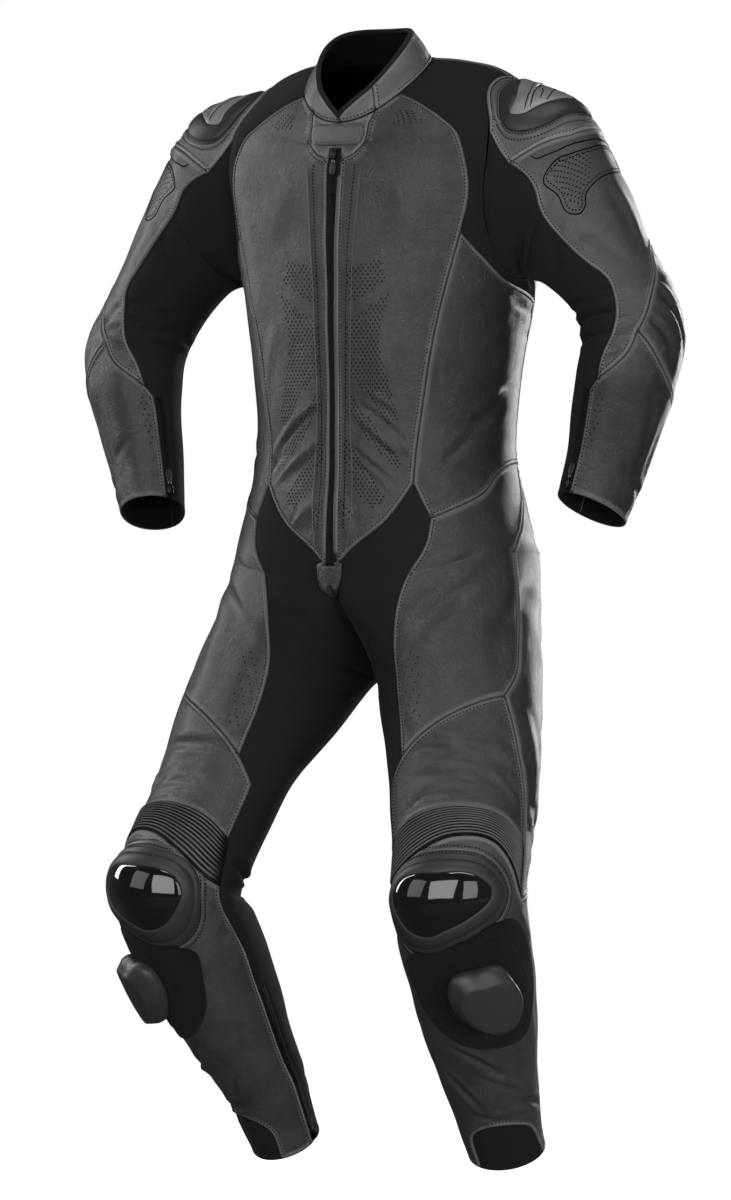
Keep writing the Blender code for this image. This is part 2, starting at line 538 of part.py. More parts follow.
# Pieces of the skin: material, whether it is half of one that crosses the middle, patches (tube, its seams).
PIECES = dict(
    collar_front=("collar_leather", False, [
        ("collar", "rim_front collar_seam -collar_front_base -collar_middle")]),
    collar_back=("collar_leather", True, [
        ("collar", "rim_back collar_spine -neckline_back -neckline_shoulder -neckline_front -collar_seam")]),
    neck_inset=("leather", True, [
        ("torso", "collar_front_base inset -zip_side_high -zip_head -inset_middle")]),
    front=("leather", False, [
        ("torso", "neckline_front front_high front_low vee -zip_side -inset")]),
    shoulder_stretch=("stretch_fabric", False, [
        ("torso", "neckline_shoulder shoulder -hole_cap hole_under pit -stretch_low -front_high")]),
    side=("leather", False, [
        ("torso", "stretch_low side_rear waist_high side_low -hip_short -front_low")]),
    back_upper=("leather", True, [
        ("torso", "neckline_back spine -waist_head -side_rear -pit -hole_back -hole_rear -shoulder")]),
    shoulder_cap=("leather", False, [("sleeve", "hole_cap hole_rear cap_side_rear -cap_low -cap_side")]),
    sleeve_outer=("leather", False, [
        ("sleeve", "cap_low -cap_side_rear hole_back outer_rear -elbow_high -outer_low -outer_front")]),
    sleeve_stretch=("stretch_fabric", False, [
        ("sleeve", "cap_side outer_front forearm_front cuff_zip_top cuff_zip_side_in -cuff_inner "
                   "-forearm_rear -elbow_rear -outer_rear -hole_under")]),
    elbow_panel=("leather", False, [("sleeve", "elbow_high elbow_rear -elbow_low")]),
    forearm_panel=("leather", False, [
        ("sleeve", "elbow_low forearm_rear -cuff_outer -cuff_zip_side -forearm_front outer_low")]),
    thigh_front=("leather", False, [
        ("torso", "thigh_inner_top hip_front -thigh_outer_top side_low"),
        ("leg", "hip_front thigh_outer thigh_low -thigh_inner")]),
    thigh_outer=("leather", False, [
        ("torso", "thigh_outer_top hip_back -seat -waist_base -waist_low"),
        ("leg", "hip_back leg_rear -calf_top -shin_top -rib_side_outer -knee_outer -thigh_outer")]),
    thigh_stretch=("stretch_fabric", False, [
        ("torso", "vee -zip_foot front_fork hip_stretch -thigh_inner_top -hip_short"),
        ("leg", "hip_stretch thigh_inner knee_inner_top knee_inner rib_side -calf_top_in -leg_rear fork")]),
    knee_above=("leather", False, [("leg", "-thigh_low knee_outer -rib_top -knee_inner -knee_inner_top")]),
    shin_panel=("leather", False, [
        ("leg", "rib_low shin_top shin_rear -hem_outer -gusset -hem_inner -calf_zip_side -shin_inner")]),
    calf_stretch=("stretch_fabric", False, [
        ("leg", "calf_top calf_top_in shin_inner calf_zip_top calf_zip_side_in -hem_calf -shin_rear")]),
    hem_gusset=("stretch_fabric", False, [("leg", "gusset -hem_front")]),
)
# Pieces in rows between four seams: top, bottom, first side, last side; ribbed ones are raised row by row.
ROWS = dict(
    front_zip=("zip", True, "torso", "zip_head", "zip_foot", "zip_middle", "zip_side_high zip_side", 0),
    back_accordion=("leather", True, "torso", "waist_head", "waist_base", "waist_high waist_low",
                    "waist_middle", RIB_RISE),
    cuff_zip=("zip", False, "sleeve", "cuff_zip_top", "cuff_zip_end", "cuff_zip_side", "cuff_zip_side_in", 0),
    knee_accordion=("leather", False, "leg", "rib_top", "rib_low", "rib_side", "rib_side_outer", RIB_RISE),
    calf_zip=("zip", False, "leg", "calf_zip_top", "calf_zip_end", "calf_zip_side", "calf_zip_side_in", 0),
)


def scale_of(tube):
    """Degrees and millimetres of a tube's places made millimetres both ways."""
    return np.array([ROUND[tube] * np.pi / 180, 1.0])


def laid_on(name, outline):
    """The outlines of what lies on a piece, turned to the same lap of degrees as the piece's own outline."""
    lines = {}
    for laid, made in LAID.items():
        if made["on"] == name:
            knots = np.array(made["knots"], float)
            line = closed_line(knots, made["count"]) if made["count"] else knots
            lap = round((outline[:, 0].mean() - line[:, 0].mean()) / 360)
            lines[laid] = line + [360 * lap, 0]
    return lines


def inner_rings(laid, lines, scale):
    """Points within a laid piece's outline where its height changes, clear of what lies on top of it."""
    line, rings = lines[laid], []
    centre = line.mean(axis=0)
    for share in LAID[laid]["shares"][1:]:
        spots = centre + (line - centre) * share if share else centre[None]
        for other in lines.values():
            if other is not line and inside(other[:1] * scale, line * scale)[0]:
                apart = from_edges(spots * scale, other * scale) > CLEAR
                spots = spots[apart & ~inside(spots * scale, other * scale)]
        rings.append(spots)
    return rings


def laid_marks(laid, line, places, faces, scale):
    """Which triangles a laid piece covers, and its height over each point."""
    made, centre = LAID[laid], line.mean(axis=0)
    out = np.zeros(len(places))
    if made["count"]:
        out = reach(places * scale, line * scale, centre * scale)
    height = np.interp(out, made["shares"][::-1], made["heights"][::-1])
    return inside(places[faces].mean(axis=1) * scale, line * scale), height


def patch(name, tube, seams):
    """One patch of a piece: its tube, places, triangles, what lies on it, and the rise of each point."""
    outline, scale = loop_places(tube, seams.split()), scale_of(tube)
    lines = laid_on(name, outline)
    extra = list(FOLDS.get((name, tube), []))
    for laid in lines:
        if LAID[laid]["count"]:
            extra += inner_rings(laid, lines, scale)
    places, faces = fill(tube, outline, list(lines.values()), extra)
    marks = {laid: laid_marks(laid, line, places, faces, scale) for laid, line in lines.items()}
    return tube, places, faces, marks, np.zeros(len(places))


def flat_pieces():
    """Every piece of the left skin: its material, whether it is half of one, and its patches."""
    pieces = {}
    for name, (stuff, half, patches) in PIECES.items():
        pieces[name] = (stuff, half, [patch(name, *sewn) for sewn in patches])
    for name, (stuff, half, tube, top, bottom, start, end, rise) in ROWS.items():
        seams = [names.split() for names in (top, bottom, start, end)]
        places, faces, row, column, columns = grid_fill(tube, *seams)
        inner = (column > 0) & ((column < columns - 1) | half)
        pieces[name] = (stuff, half, [(tube, places, faces, {}, rise * (row % 2 == 1) * inner)])
    return pieces


def key(point):
    """A point's name to a hundredth of a millimetre, so that seams find each other."""
    return tuple(int(v) for v in np.round(np.asarray(point) * 100))


def weld(parts):
    """Patches of one piece joined where they meet: points, faces, and each patch's marks carried along."""
    index, points, faces, marks, lift = {}, [], [], {}, []
    for side, tube, places, corner, laid, rise in parts:
        spots = skin(tube, side, places[:, 0], places[:, 1])
        spots[np.abs(spots[:, 0]) < 0.01, 0] = 0
        number = np.empty(len(spots), int)
        for i, spot in enumerate(spots):
            name = key(spot)
            if name not in index:
                index[name] = len(points)
                points.append(spot)
                lift.append(rise[i])
            number[i] = index[name]
        start = len(faces)
        turned = number[corner] if side < 0 else number[corner][:, ::-1]
        faces.extend(turned[[len(set(f)) == 3 for f in turned]])
        kept = np.array([len(set(f)) == 3 for f in turned])
        for n, (chosen, height) in laid.items():
            old = marks.setdefault(n, (set(), {}))
            old[0].update(start + int(i) for i in np.flatnonzero(chosen[kept]))
            old[1].update({int(number[i]): float(h) for i, h in enumerate(height)})
    return np.array(points), np.array(faces), marks, np.array(lift)


def add_ways(total, points, faces):
    """Adds a piece's share to the way that the skin faces at each of its points."""
    a, b, c = (points[faces[:, i]] for i in range(3))
    ways = np.cross(b - a, c - a)
    for i in range(3):
        for corner, way in zip(faces[:, i], ways):
            name = key(points[corner])
            total[name] = total.get(name, 0) + way


def rim_of(faces):
    """The edges that only one face has, in that face's order."""
    edges = {}
    for face in faces:
        for i in range(3):
            a, b = int(face[i]), int(face[(i + 1) % 3])
            if (b, a) in edges:
                del edges[(b, a)]
            else:
                edges[(a, b)] = True
    return list(edges)


def drawn_in(points, ways, rim, gap):
    """Points with the rim moved into the piece by gap, along its surface."""
    moved = points.copy()
    shifts = {}
    for a, b in rim:
        edge = unit(points[b] - points[a])
        for corner in (a, b):
            shifts.setdefault(corner, []).append(unit(np.cross(ways[corner], edge)))
    for corner, inward in shifts.items():
        middle = np.sum(inward, axis=0)
        size = np.linalg.norm(middle)
        middle = middle / size if size > 1e-6 else inward[0]
        moved[corner] += middle * gap / max(0.1, float(np.dot(middle, inward[0])))
    return moved


def closed_shell(name, material, points, ways, faces, low, high, rank):
    """A closed solid between two heights over a skin. Both sides of a seam split their walls by rank."""
    used = np.unique(faces)
    number = np.full(len(points), -1)
    number[used] = np.arange(len(used))
    faces = number[faces]
    points, ways, low, high, rank = points[used], ways[used], low[used], high[used], rank[used]
    rim = rim_of(faces)
    count = len(points)
    outer, inner = points + ways * high[:, None], points + ways * low[:, None]
    sides = []
    for a, b in rim:
        if rank[a] < rank[b]:
            sides += [(b, a, b + count), (a, a + count, b + count)]
        else:
            sides += [(b, a, a + count), (b, a + count, b + count)]
    corners = [tuple(f) for f in faces] + [tuple(f[::-1] + count) for f in faces] + sides
    mesh = bpy.data.meshes.new(name)
    places = np.concatenate([outer, inner]) * MM
    mesh.from_pydata(places.tolist(), [], [tuple(map(int, f)) for f in corners])
    mesh.shade_smooth()
    mesh.set_sharp_from_angle(angle=np.radians(50))
    mesh.materials.append(MATERIALS[material])
    thing = bpy.data.objects.new(name, mesh)
    bpy.context.collection.objects.link(thing)
    return thing


def seat(tube, side, angle, down):
    """A place on the skin, and the ways across it, down it and out of it there."""
    here = skin(tube, side, angle, down)
    along = unit(skin(tube, side, angle, down + 2) - here)
    out = side * unit(np.cross(along, skin(tube, side, angle + 2, down) - here))
    return here, np.cross(out, along), along, out


def plate(name, material, form, frame, origin):
    """A small plate: its outline (across, along) at levels (height, inset), set on a frame from seat()."""
    here, across, along, out = frame
    outline, levels = np.array(form["outline"], float), form["levels"]
    middle = outline.mean(axis=0)
    count = len(outline)
    points = []
    for height, inset in levels:
        size = np.linalg.norm(outline - middle, axis=1, keepdims=True)
        flat = middle + (outline - middle) * (size - inset) / size
        points.append(here + flat[:, :1] * across + flat[:, 1:] * along + height * out)
    faces = [tuple(range(count)), tuple(count * (len(levels) - 1) + i for i in range(count))[::-1]]
    for level in range(len(levels) - 1):
        low, high = level * count, (level + 1) * count
        faces += [(low + (i + 1) % count, low + i, high + i, high + (i + 1) % count) for i in range(count)]
    mesh = bpy.data.meshes.new(name)
    mesh.from_pydata(((np.concatenate(points) - origin) * MM).tolist(), [], faces)
    mesh.shade_smooth()
    mesh.set_sharp_from_angle(angle=np.radians(40))
    mesh.materials.append(MATERIALS[material])
    thing = bpy.data.objects.new(name, mesh)
    thing.location = origin * MM
    bpy.context.collection.objects.link(thing)
    return thing


def united(thing, block):
    """Makes one body of a piece and the block that is set into it."""
    join = thing.modifiers.new("join", "BOOLEAN")
    join.operation, join.solver, join.object = "UNION", "EXACT", block
    mesh = bpy.data.meshes.new_from_object(thing.evaluated_get(bpy.context.evaluated_depsgraph_get()))
    thing.modifiers.clear()
    thing.data = mesh
    bpy.data.objects.remove(block, do_unlink=True)


def material(name, colour, roughness, metallic=0.0):
    """A plain Principled material."""
    made = bpy.data.materials.new(name)
    made.use_nodes = True
    shader = made.node_tree.nodes["Principled BSDF"]
    shader.inputs["Base Color"].default_value = (*colour, 1)
    shader.inputs["Roughness"].default_value = roughness
    shader.inputs["Metallic"].default_value = metallic
    return made


for old in list(bpy.data.objects):
    bpy.data.objects.remove(old, do_unlink=True)
MATERIALS = dict(
    leather=material("leather", (0.030, 0.030, 0.031), 0.45),
    collar_leather=material("collar_leather", (0.022, 0.022, 0.023), 0.5),
    stretch_fabric=material("stretch_fabric", (0.008, 0.008, 0.009), 0.85),
    loop_fabric=material("loop_fabric", (0.006, 0.006, 0.006), 0.95),
    knee_shell=material("knee_shell", (0.010, 0.010, 0.010), 0.15),
    shoulder_shell=material("shoulder_shell", (0.10, 0.10, 0.10), 0.4),
    slider_plastic=material("slider_plastic", (0.012, 0.012, 0.012), 0.5),
    zip=material("zip", (0.012, 0.012, 0.012), 0.6),
    zip_metal=material("zip_metal", (0.02, 0.02, 0.02), 0.35, 1.0),
)
LAID_MATERIAL = dict(knee_cup="knee_shell", knee_patch="loop_fabric", knee_puck="slider_plastic",
                     shoulder_slider="shoulder_shell", collar_tab="leather")


def build_skin():
    """Cuts the skin into its pieces and gives each one its wall, on both sides of the suit."""
    pieces = []
    for name, (stuff, half, patches) in flat_pieces().items():
        if half:
            sets = [(name, [(side, *patch) for side in (1, -1) for patch in patches])]
        else:
            sets = [(name + end, [(side, *patch) for patch in patches])
                    for side, end in ((1, "_left"), (-1, "_right"))]
        for full_name, parts in sets:
            pieces.append((full_name, stuff, *weld(parts)))
    total = {}
    for _, _, points, faces, _, _ in pieces:
        add_ways(total, points, faces)
    for name, stuff, points, faces, marks, lift in pieces:
        ways = unit(np.array([total[key(p)] for p in points]))
        middle = points[:, 0] == 0
        ways[middle, 0] = 0
        ways = unit(ways)
        rim = rim_of(faces)
        moved = drawn_in(points, ways, rim, SEAM / 2)
        moved[middle & ~np.isin(np.arange(len(points)), np.array(rim)), 0] = 0
        flat = np.zeros(len(points))
        rank = np.round(points, 2) @ [1.0, 2.3, 3.7]
        closed_shell(name, stuff, moved, ways, faces, flat - WALL, lift, rank)
        end = next((e for e in ("_left", "_right") if name.endswith(e)), "")
        for laid, (chosen, heights) in marks.items():
            high = np.array([heights.get(i, 0.0) for i in range(len(points))])
            closed_shell(laid + end, LAID_MATERIAL[laid], points, ways, faces[sorted(chosen)],
                         flat + LAID[laid]["base"], high, rank)


# The zips' sliders and pulls. Outlines are (across, along) from the pull's hinge, in the zip's own direction
# from the slider to the pull's free end.
SLIDER = dict(outline=[(-3.4, -11), (-2.4, -13), (2.4, -13), (3.4, -11), (3.0, -2.2), (2.0, -1.4),
                       (-2.0, -1.4), (-3.0, -2.2)], levels=[(-1.0, 0), (3.6, 0), (4.6, 0.8)])
PULL = dict(outline=[(-2.2, 0.3), (2.2, 0.3), (3.8, 4), (4.2, 14), (3.4, 17), (1.4, 18.4), (-1.4, 18.4),
                     (-3.4, 17), (-4.2, 14), (-3.8, 4)], levels=[(0.9, 0.3), (1.3, 0), (2.5, 0), (2.9, 0.3)])
HINGE_HEIGHT = 1.9     # of a pull's hinge over its tape
# Each zip's pull: the tube, the degrees and millimetres of its hinge there, and 1 if it hangs down from it.
PULLS = dict(
    front_zip=("torso", -90, 158, 1),
    cuff_zip=("sleeve", -131, 521, -1),
    calf_zip=("leg", 161.8, 756, -1),
)


def build_pulls():
    """Each zip's slider, one body with its tape, and the pull that swings from it."""
    for name, (tube, angle, down, hang) in PULLS.items():
        ends = {"": 1} if name == "front_zip" else {"_left": 1, "_right": -1}
        for end, side in ends.items():
            here, across, along, out = seat(tube, side, np.array(float(angle)), np.array(float(down)))
            frame = (here, across * hang, along * hang, out)
            slider = plate(name + "_slider" + end, "zip_metal", SLIDER, frame, 0 * here)
            united(bpy.data.objects[name + end], slider)
            plate(name + "_pull" + end, "zip_metal", PULL, frame, here + out * HINGE_HEIGHT)


# The shield over the zip's foot: heights of its top and tip, half width, and lift off what is under it.
ZIP_END = dict(top=-563.0, tip=-598.0, half_width=17.0, arch=3.0, lift=1.2, thick=2.5, rows=9, columns=4)


def build_zip_end():
    """The stitched shield that covers the foot of the front zip, laid over whatever is behind it."""
    z = ZIP_END
    share = np.linspace(0, 1, z["rows"])[:, None]
    across = np.linspace(-1, 1, 2 * z["columns"] + 1)[None]
    x = across * z["half_width"] * (1 - 0.94 * share**2.6) ** 0.7
    height = z["top"] + (z["tip"] - z["top"]) * share - z["arch"] * (across**2) * (1 - share)
    cover = [BVHTree.FromObject(bpy.data.objects[n], bpy.context.evaluated_depsgraph_get())
             for n in ("front_zip", "front_left", "front_right", "thigh_stretch_left", "thigh_stretch_right")]
    y = np.zeros_like(x)
    for i, (a, b) in enumerate(zip(x.ravel(), height.ravel())):
        hits = [tree.ray_cast(Vector(((a + beside) * MM, -1, b * MM)), Vector((0, 1, 0)))[0]
                for tree in cover for beside in (-2 * SEAM, 2 * SEAM)]
        y.ravel()[i] = min(hit.y for hit in hits if hit) / MM
    points = np.stack([x, y - z["lift"] * (1 + share), height], -1).reshape(-1, 3)
    rank = points[:, 0] + points[:, 2]
    rows, columns = x.shape
    corner = (np.arange(rows - 1)[:, None] * columns + np.arange(columns - 1)).ravel()
    faces = np.concatenate([np.stack([corner, corner + columns, corner + columns + 1], -1),
                            np.stack([corner, corner + columns + 1, corner + 1], -1)])
    ways = np.tile([0.0, -1.0, 0.0], (len(points), 1))
    flat = np.zeros(len(points))
    closed_shell("zip_end_tab", "leather", points, ways, faces, flat, flat + z["thick"], rank)


build_skin()
build_pulls()
build_zip_end()
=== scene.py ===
# %% [markdown]
# # A motorcycle race suit, in cells
# The real object is a one-piece suit of black leather and stretch cloth, filled out as if worn.
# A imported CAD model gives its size, its hollow and its joints. This script dresses that model: it loads
# it as a fixed frame, lays finer pieces over its nodes and gives every one its finish.

# %% Load the frame
import bmesh
import bpy
import numpy as np
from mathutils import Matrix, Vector
from mathutils.bvhtree import BVHTree
from mathutils.geometry import delaunay_2d_cdt


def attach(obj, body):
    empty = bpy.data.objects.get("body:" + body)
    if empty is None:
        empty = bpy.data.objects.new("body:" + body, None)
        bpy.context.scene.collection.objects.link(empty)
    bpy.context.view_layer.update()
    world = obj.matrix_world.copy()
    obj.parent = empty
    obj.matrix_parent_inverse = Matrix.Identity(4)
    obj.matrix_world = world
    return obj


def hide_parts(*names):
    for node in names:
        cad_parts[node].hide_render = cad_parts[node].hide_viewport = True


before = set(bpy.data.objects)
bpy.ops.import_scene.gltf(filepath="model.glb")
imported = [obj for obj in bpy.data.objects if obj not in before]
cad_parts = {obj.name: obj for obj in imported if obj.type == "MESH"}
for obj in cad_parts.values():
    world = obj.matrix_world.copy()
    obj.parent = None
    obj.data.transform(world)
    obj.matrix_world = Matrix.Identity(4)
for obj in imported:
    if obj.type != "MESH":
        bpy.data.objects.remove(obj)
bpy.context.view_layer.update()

MM = 0.001

# %% [markdown]
# ## The form
# A garment that is filled out is a set of tubes: one torso, two sleeves, two legs and a collar.
# They could be sculpted, but then two panels that meet at a seam would never match. Here each tube is
# a function of two numbers, the angle round it and the millimetres down it. Any seam is then a line in
# those numbers, and both of its panels find the same points.

# %% Tables of rings
# "down" is the run from the top of the tube. The rest is each ring's middle, half sizes and slant, in mm
# and degrees, and a smooth curve runs through the rows.
ROUND = dict(torso=150, sleeve=62, leg=76, collar=70)  # radius that turns degrees round a tube to mm
COLLAR = 40.0
TORSO = dict(
    down=[0, 40, 80, 125, 172, 232, 313, 394, 474, 544, 615, 677, 758],
    height=[30, 26, 15, -13, -59, -120, -200, -280, -360, -430, -500, -562, -640],
    half_width=[78, 120, 158, 190, 202, 198, 187, 174, 164, 162, 175, 194, 208],
    front=[-125, -128, -130, -134, -139, -143, -144, -143, -141, -140, -144, -146, -140],
    back=[15, 42, 70, 98, 118, 130, 134, 130, 122, 116, 120, 126, 112],
    tilt=[0.60, 0.56, 0.50, 0.36, 0.20, 0.08, 0, 0, 0, 0, 0, 0, 0],
    droop=[22, 24, 21, 10, 4, 0, 0, 0, 0, 0, 0, 0, 0],
    square=[2.0, 2.1, 2.25, 2.4, 2.5, 2.45, 2.35, 2.3, 2.25, 2.25, 2.3, 2.35, 2.4],
)
COLLAR_RIM = dict(half_x=55, half_y=62, y=-64, z=36, rise=48, side=24)
ARMHOLE = dict(down=208, half_down=128, half_front=31, half_back=33)
SLEEVE = dict(
    down=[75, 145, 205, 265, 320, 375, 430, 485, 540],
    x=[244, 264, 293, 328, 348, 343, 332, 320, 307],
    y=[-12, -14, -17, -12, -26, -40, -44, -47, -55],
    z=[-130, -165, -204, -250, -300, -352, -402, -452, -502],
    lean=[66, 46, 27, 18, 4, -8, -12, -13, -13],
    cant=[0, 0, 0, -3, -8, -14, -18, -22, -26],
    across=[100, 83, 68, 62, 63, 59, 53, 47, 42],
    front=[74, 68, 62, 60, 59, 56, 50, 45, 41],
    back=[76, 70, 66, 58, 61, 62, 55, 49, 43],
)
FOREARM_TURN = dict(down=[0, 250, 290, 345, 390, 480, 540], turn=[0, 0, 7, 13, 18, 20, 20])
LEG = dict(
    down=[150, 215, 280, 345, 410, 465, 520, 575, 635, 695, 737, 774],
    x=[135, 156, 173, 187, 195, 191, 185, 178, 170, 162, 159, 157],
    y=[-66, -98, -127, -156, -178, -158, -129, -99, -67, -33, -10, 9],
    z=[-735, -793, -854, -912, -964, -1013, -1061, -1110, -1159, -1208, -1245, -1277],
    turn=[12, 17, 20, 20, 20, 20, 20, 20, 20, 20, 20, 20],
    lean=[6, 5, 4, 4, 4, 4, 5, 5, 5, 5, 5, 5],
    cant=[-25, -28, -29, -26, -2, 20, 29, 31, 31, 31, 31, 31],
    across=[100, 95, 90, 83, 80, 78, 75, 70, 63, 55, 50, 46],
    front=[94, 76, 66, 68, 76, 72, 68, 62, 53, 46, 42, 40],
    back=[80, 66, 61, 66, 78, 86, 86, 78, 66, 56, 50, 46],
)
LEG_LINE = dict(angle=[-90, -60, -20, 20, 60, 90], down=[706, 690, 668, 668, 690, 712])
CROTCH_HEIGHT, CROTCH_MIDDLE, LEG_SHARE = -688, 5, 125


def between(table, column, at):
    """A column of a table at any place: cubic pieces whose slopes are the mean slopes of their neighbours."""
    knots = np.array(next(iter(table.values())), float)
    values = np.array(table[column], float)
    slopes = np.gradient(values, knots)
    at = np.clip(at, knots[0], knots[-1])
    i = np.clip(np.searchsorted(knots, at, side="right") - 1, 0, len(knots) - 2)
    span = knots[i + 1] - knots[i]
    t = (at - knots[i]) / span
    return ((2 * t**3 - 3 * t**2 + 1) * values[i] + (t**3 - 2 * t**2 + t) * span * slopes[i]
            + (3 * t**2 - 2 * t**3) * values[i + 1] + (t**3 - t**2) * span * slopes[i + 1])


# %% The torso's tube
def rounded(value, square):
    """sign(v) |v|^(2/square): an ellipse at power 2, and squarer above it."""
    return np.sign(value) * np.abs(value) ** (2 / square)


def torso(angle, down):
    """A tilted superellipse at each depth: x = half width * cos, y = middle + half depth * sin."""
    turn = np.radians(angle)
    square = between(TORSO, "square", down)
    x = between(TORSO, "half_width", down) * rounded(np.cos(turn), square)
    front, back = between(TORSO, "front", down), between(TORSO, "back", down)
    middle, half = (front + back) / 2, (back - front) / 2
    y = middle + half * rounded(np.sin(turn), square)
    droop = between(TORSO, "droop", down) * ((y - middle) / half) ** 2
    z = between(TORSO, "height", down) + between(TORSO, "tilt", down) * (y - middle) - droop
    return np.stack([x, y, z], -1)


# %% The sleeves' and legs' tubes
def unit(way):
    """Directions made one long."""
    return way / np.linalg.norm(way, axis=-1, keepdims=True)


def ring(table, angle, down):
    """An ellipse across the tube: its outer radius leans, its depth cants, and the whole is twisted."""
    row = {column: between(table, column, down) for column in table}
    turn, lean, cant = np.radians(angle), np.radians(row["lean"]), np.radians(row["cant"])
    twist = np.radians(row.get("turn", 0.0))
    across = row["across"] * np.cos(turn)
    depth = np.where(np.sin(turn) > 0, row["back"], row["front"]) * np.sin(turn)
    x = row["x"] + across * np.cos(lean) * np.cos(twist) - depth * np.cos(cant) * np.sin(twist)
    y = row["y"] + across * np.cos(lean) * np.sin(twist) + depth * np.cos(cant) * np.cos(twist)
    z = row["z"] + across * np.sin(lean) + depth * np.sin(cant)
    return np.stack([x, y, z], -1)


def loft(table, angle, down, start, start_way):
    """The rings below the first one, and above it a cubic that leaves the sewn edge along start_way."""
    first, step = table["down"][0], 4.0
    low = ring(table, angle, np.maximum(down, first))
    end = ring(table, angle, first + 0 * down)
    end_way = (ring(table, angle, first + step + 0 * down) - end) / step
    reach = np.linalg.norm(end - start, axis=-1, keepdims=True)
    end_way = end_way * reach / np.linalg.norm(end_way, axis=-1, keepdims=True)
    t = np.clip(down / first, 0, 1)[..., None]
    high = ((2 * t**3 - 3 * t**2 + 1) * start + (t**3 - 2 * t**2 + t) * start_way * reach
            + (3 * t**2 - 2 * t**3) * end + (t**3 - t**2) * end_way)
    return np.where((down > first)[..., None], low, high)


def armhole(angle):
    """The armhole's oval on the torso, as (angle, down) there."""
    turn = np.radians(angle)
    half = np.where(np.sin(turn) > 0, ARMHOLE["half_back"], ARMHOLE["half_front"])
    return half * np.sin(turn), ARMHOLE["down"] - ARMHOLE["half_down"] * np.cos(turn)


def sleeve(angle, down):
    """The left sleeve: a loft from the armhole to its rings."""
    edge = torso(*armhole(angle))
    end = ring(SLEEVE, angle, SLEEVE["down"][0] + 0 * down)
    up = (1 + np.cos(np.radians(angle)))[..., None] / 2
    way = unit(unit(end - edge) * (1.15 - up) + np.array([0.86, 0, -0.5]) * up)
    return loft(SLEEVE, angle, down, edge, way)


def leg_line(angle):
    """Depth down the torso at which the leg's tube takes over."""
    return between(LEG_LINE, "down", angle)


def leg_edge(angle):
    """The top edge of the left leg: the torso's leg line outside, a bowed crotch seam inside."""
    angle = (angle + 180) % 360 - 180
    on_torso = np.clip(angle, -LEG_SHARE, LEG_SHARE) * 90 / LEG_SHARE
    hip = torso(on_torso, leg_line(on_torso))
    share = np.clip((np.mod(angle, 360) - LEG_SHARE) / (360 - 2 * LEG_SHARE), 0, 1)
    back = torso(np.array(90.0), leg_line(90.0))
    front = torso(np.array(-90.0), leg_line(-90.0))
    bow = 4 * share * (1 - share)
    y = back[1] + (front[1] - back[1]) * share + (CROTCH_MIDDLE - (back[1] + front[1]) / 2) * bow
    z = back[2] + (front[2] - back[2]) * share + (CROTCH_HEIGHT - (back[2] + front[2]) / 2) * bow
    return np.where((np.abs(angle) <= LEG_SHARE)[..., None], hip, np.stack([0 * y, y, z], -1))


def leg(angle, down):
    """The left leg: a loft from its top edge to its rings."""
    edge = leg_edge(angle)
    end = ring(LEG, angle, LEG["down"][0] + 0 * down)
    inner = np.clip((np.abs((angle + 180) % 360 - 180) - 70) / 55, 0, 1)[..., None]
    inner = inner * inner * (3 - 2 * inner)
    way = unit(unit(end - edge) * inner + np.array([0.15, -0.2, -1.0]) * (1 - inner))
    return loft(LEG, angle, down, edge, way)


# %% The collar, and the two sides of the skin
def collar(angle, down):
    """The rim's oval blended into the neckline, with a little belly between them."""
    turn = np.radians(angle)
    share = (down / COLLAR)[..., None]
    oval = COLLAR_RIM
    height = oval["z"] + oval["rise"] * np.sin(turn) + oval["side"] * np.cos(turn) ** 2
    rim = np.stack([oval["half_x"] * np.cos(turn), oval["y"] + oval["half_y"] * np.sin(turn), height], -1)
    out = np.stack([np.cos(turn), np.sin(turn), 0 * turn], -1)
    return rim * (1 - share) + torso(angle, 0 * down) * share + out * 12 * share * (1 - share)


TUBES = dict(torso=torso, sleeve=sleeve, leg=leg, collar=collar)


def skin(tube, side, angle, down):
    """Points of the left skin (side 1) or its mirror image (side -1), whose forearm turns the other way."""
    angle, down = np.asarray(angle, float), np.asarray(down, float)
    if tube == "sleeve":
        angle = angle + side * between(FOREARM_TURN, "turn", down)
    return TUBES[tube](angle, down) * np.array([side, 1, 1])


def skin_ways(tube, side, angle, down, step=0.5):
    """At each place: the unit ways round the tube, down it, and out of it (their cross product)."""
    span = step / (ROUND[tube] * np.pi / 180)
    around = unit(skin(tube, side, angle + span, down) - skin(tube, side, angle - span, down))
    along = unit(skin(tube, side, angle, down + step) - skin(tube, side, angle, down - step))
    return around, along, unit(np.cross(along, around)) * side


print("chest, mm round:", round(float(np.linalg.norm(np.diff(
    torso(np.arange(-180.0, 181), np.full(361, 250.0)), axis=0), axis=1).sum())))

# %% [markdown]
# ## Seams
# A pattern cutter names the corners where seams meet and draws the seams between them. The same graph
# works here: a corner is a place on a tube, a seam is a smooth line through a few places, and a panel is
# the loop of seams round it. Because neighbours share a seam, they share its points.

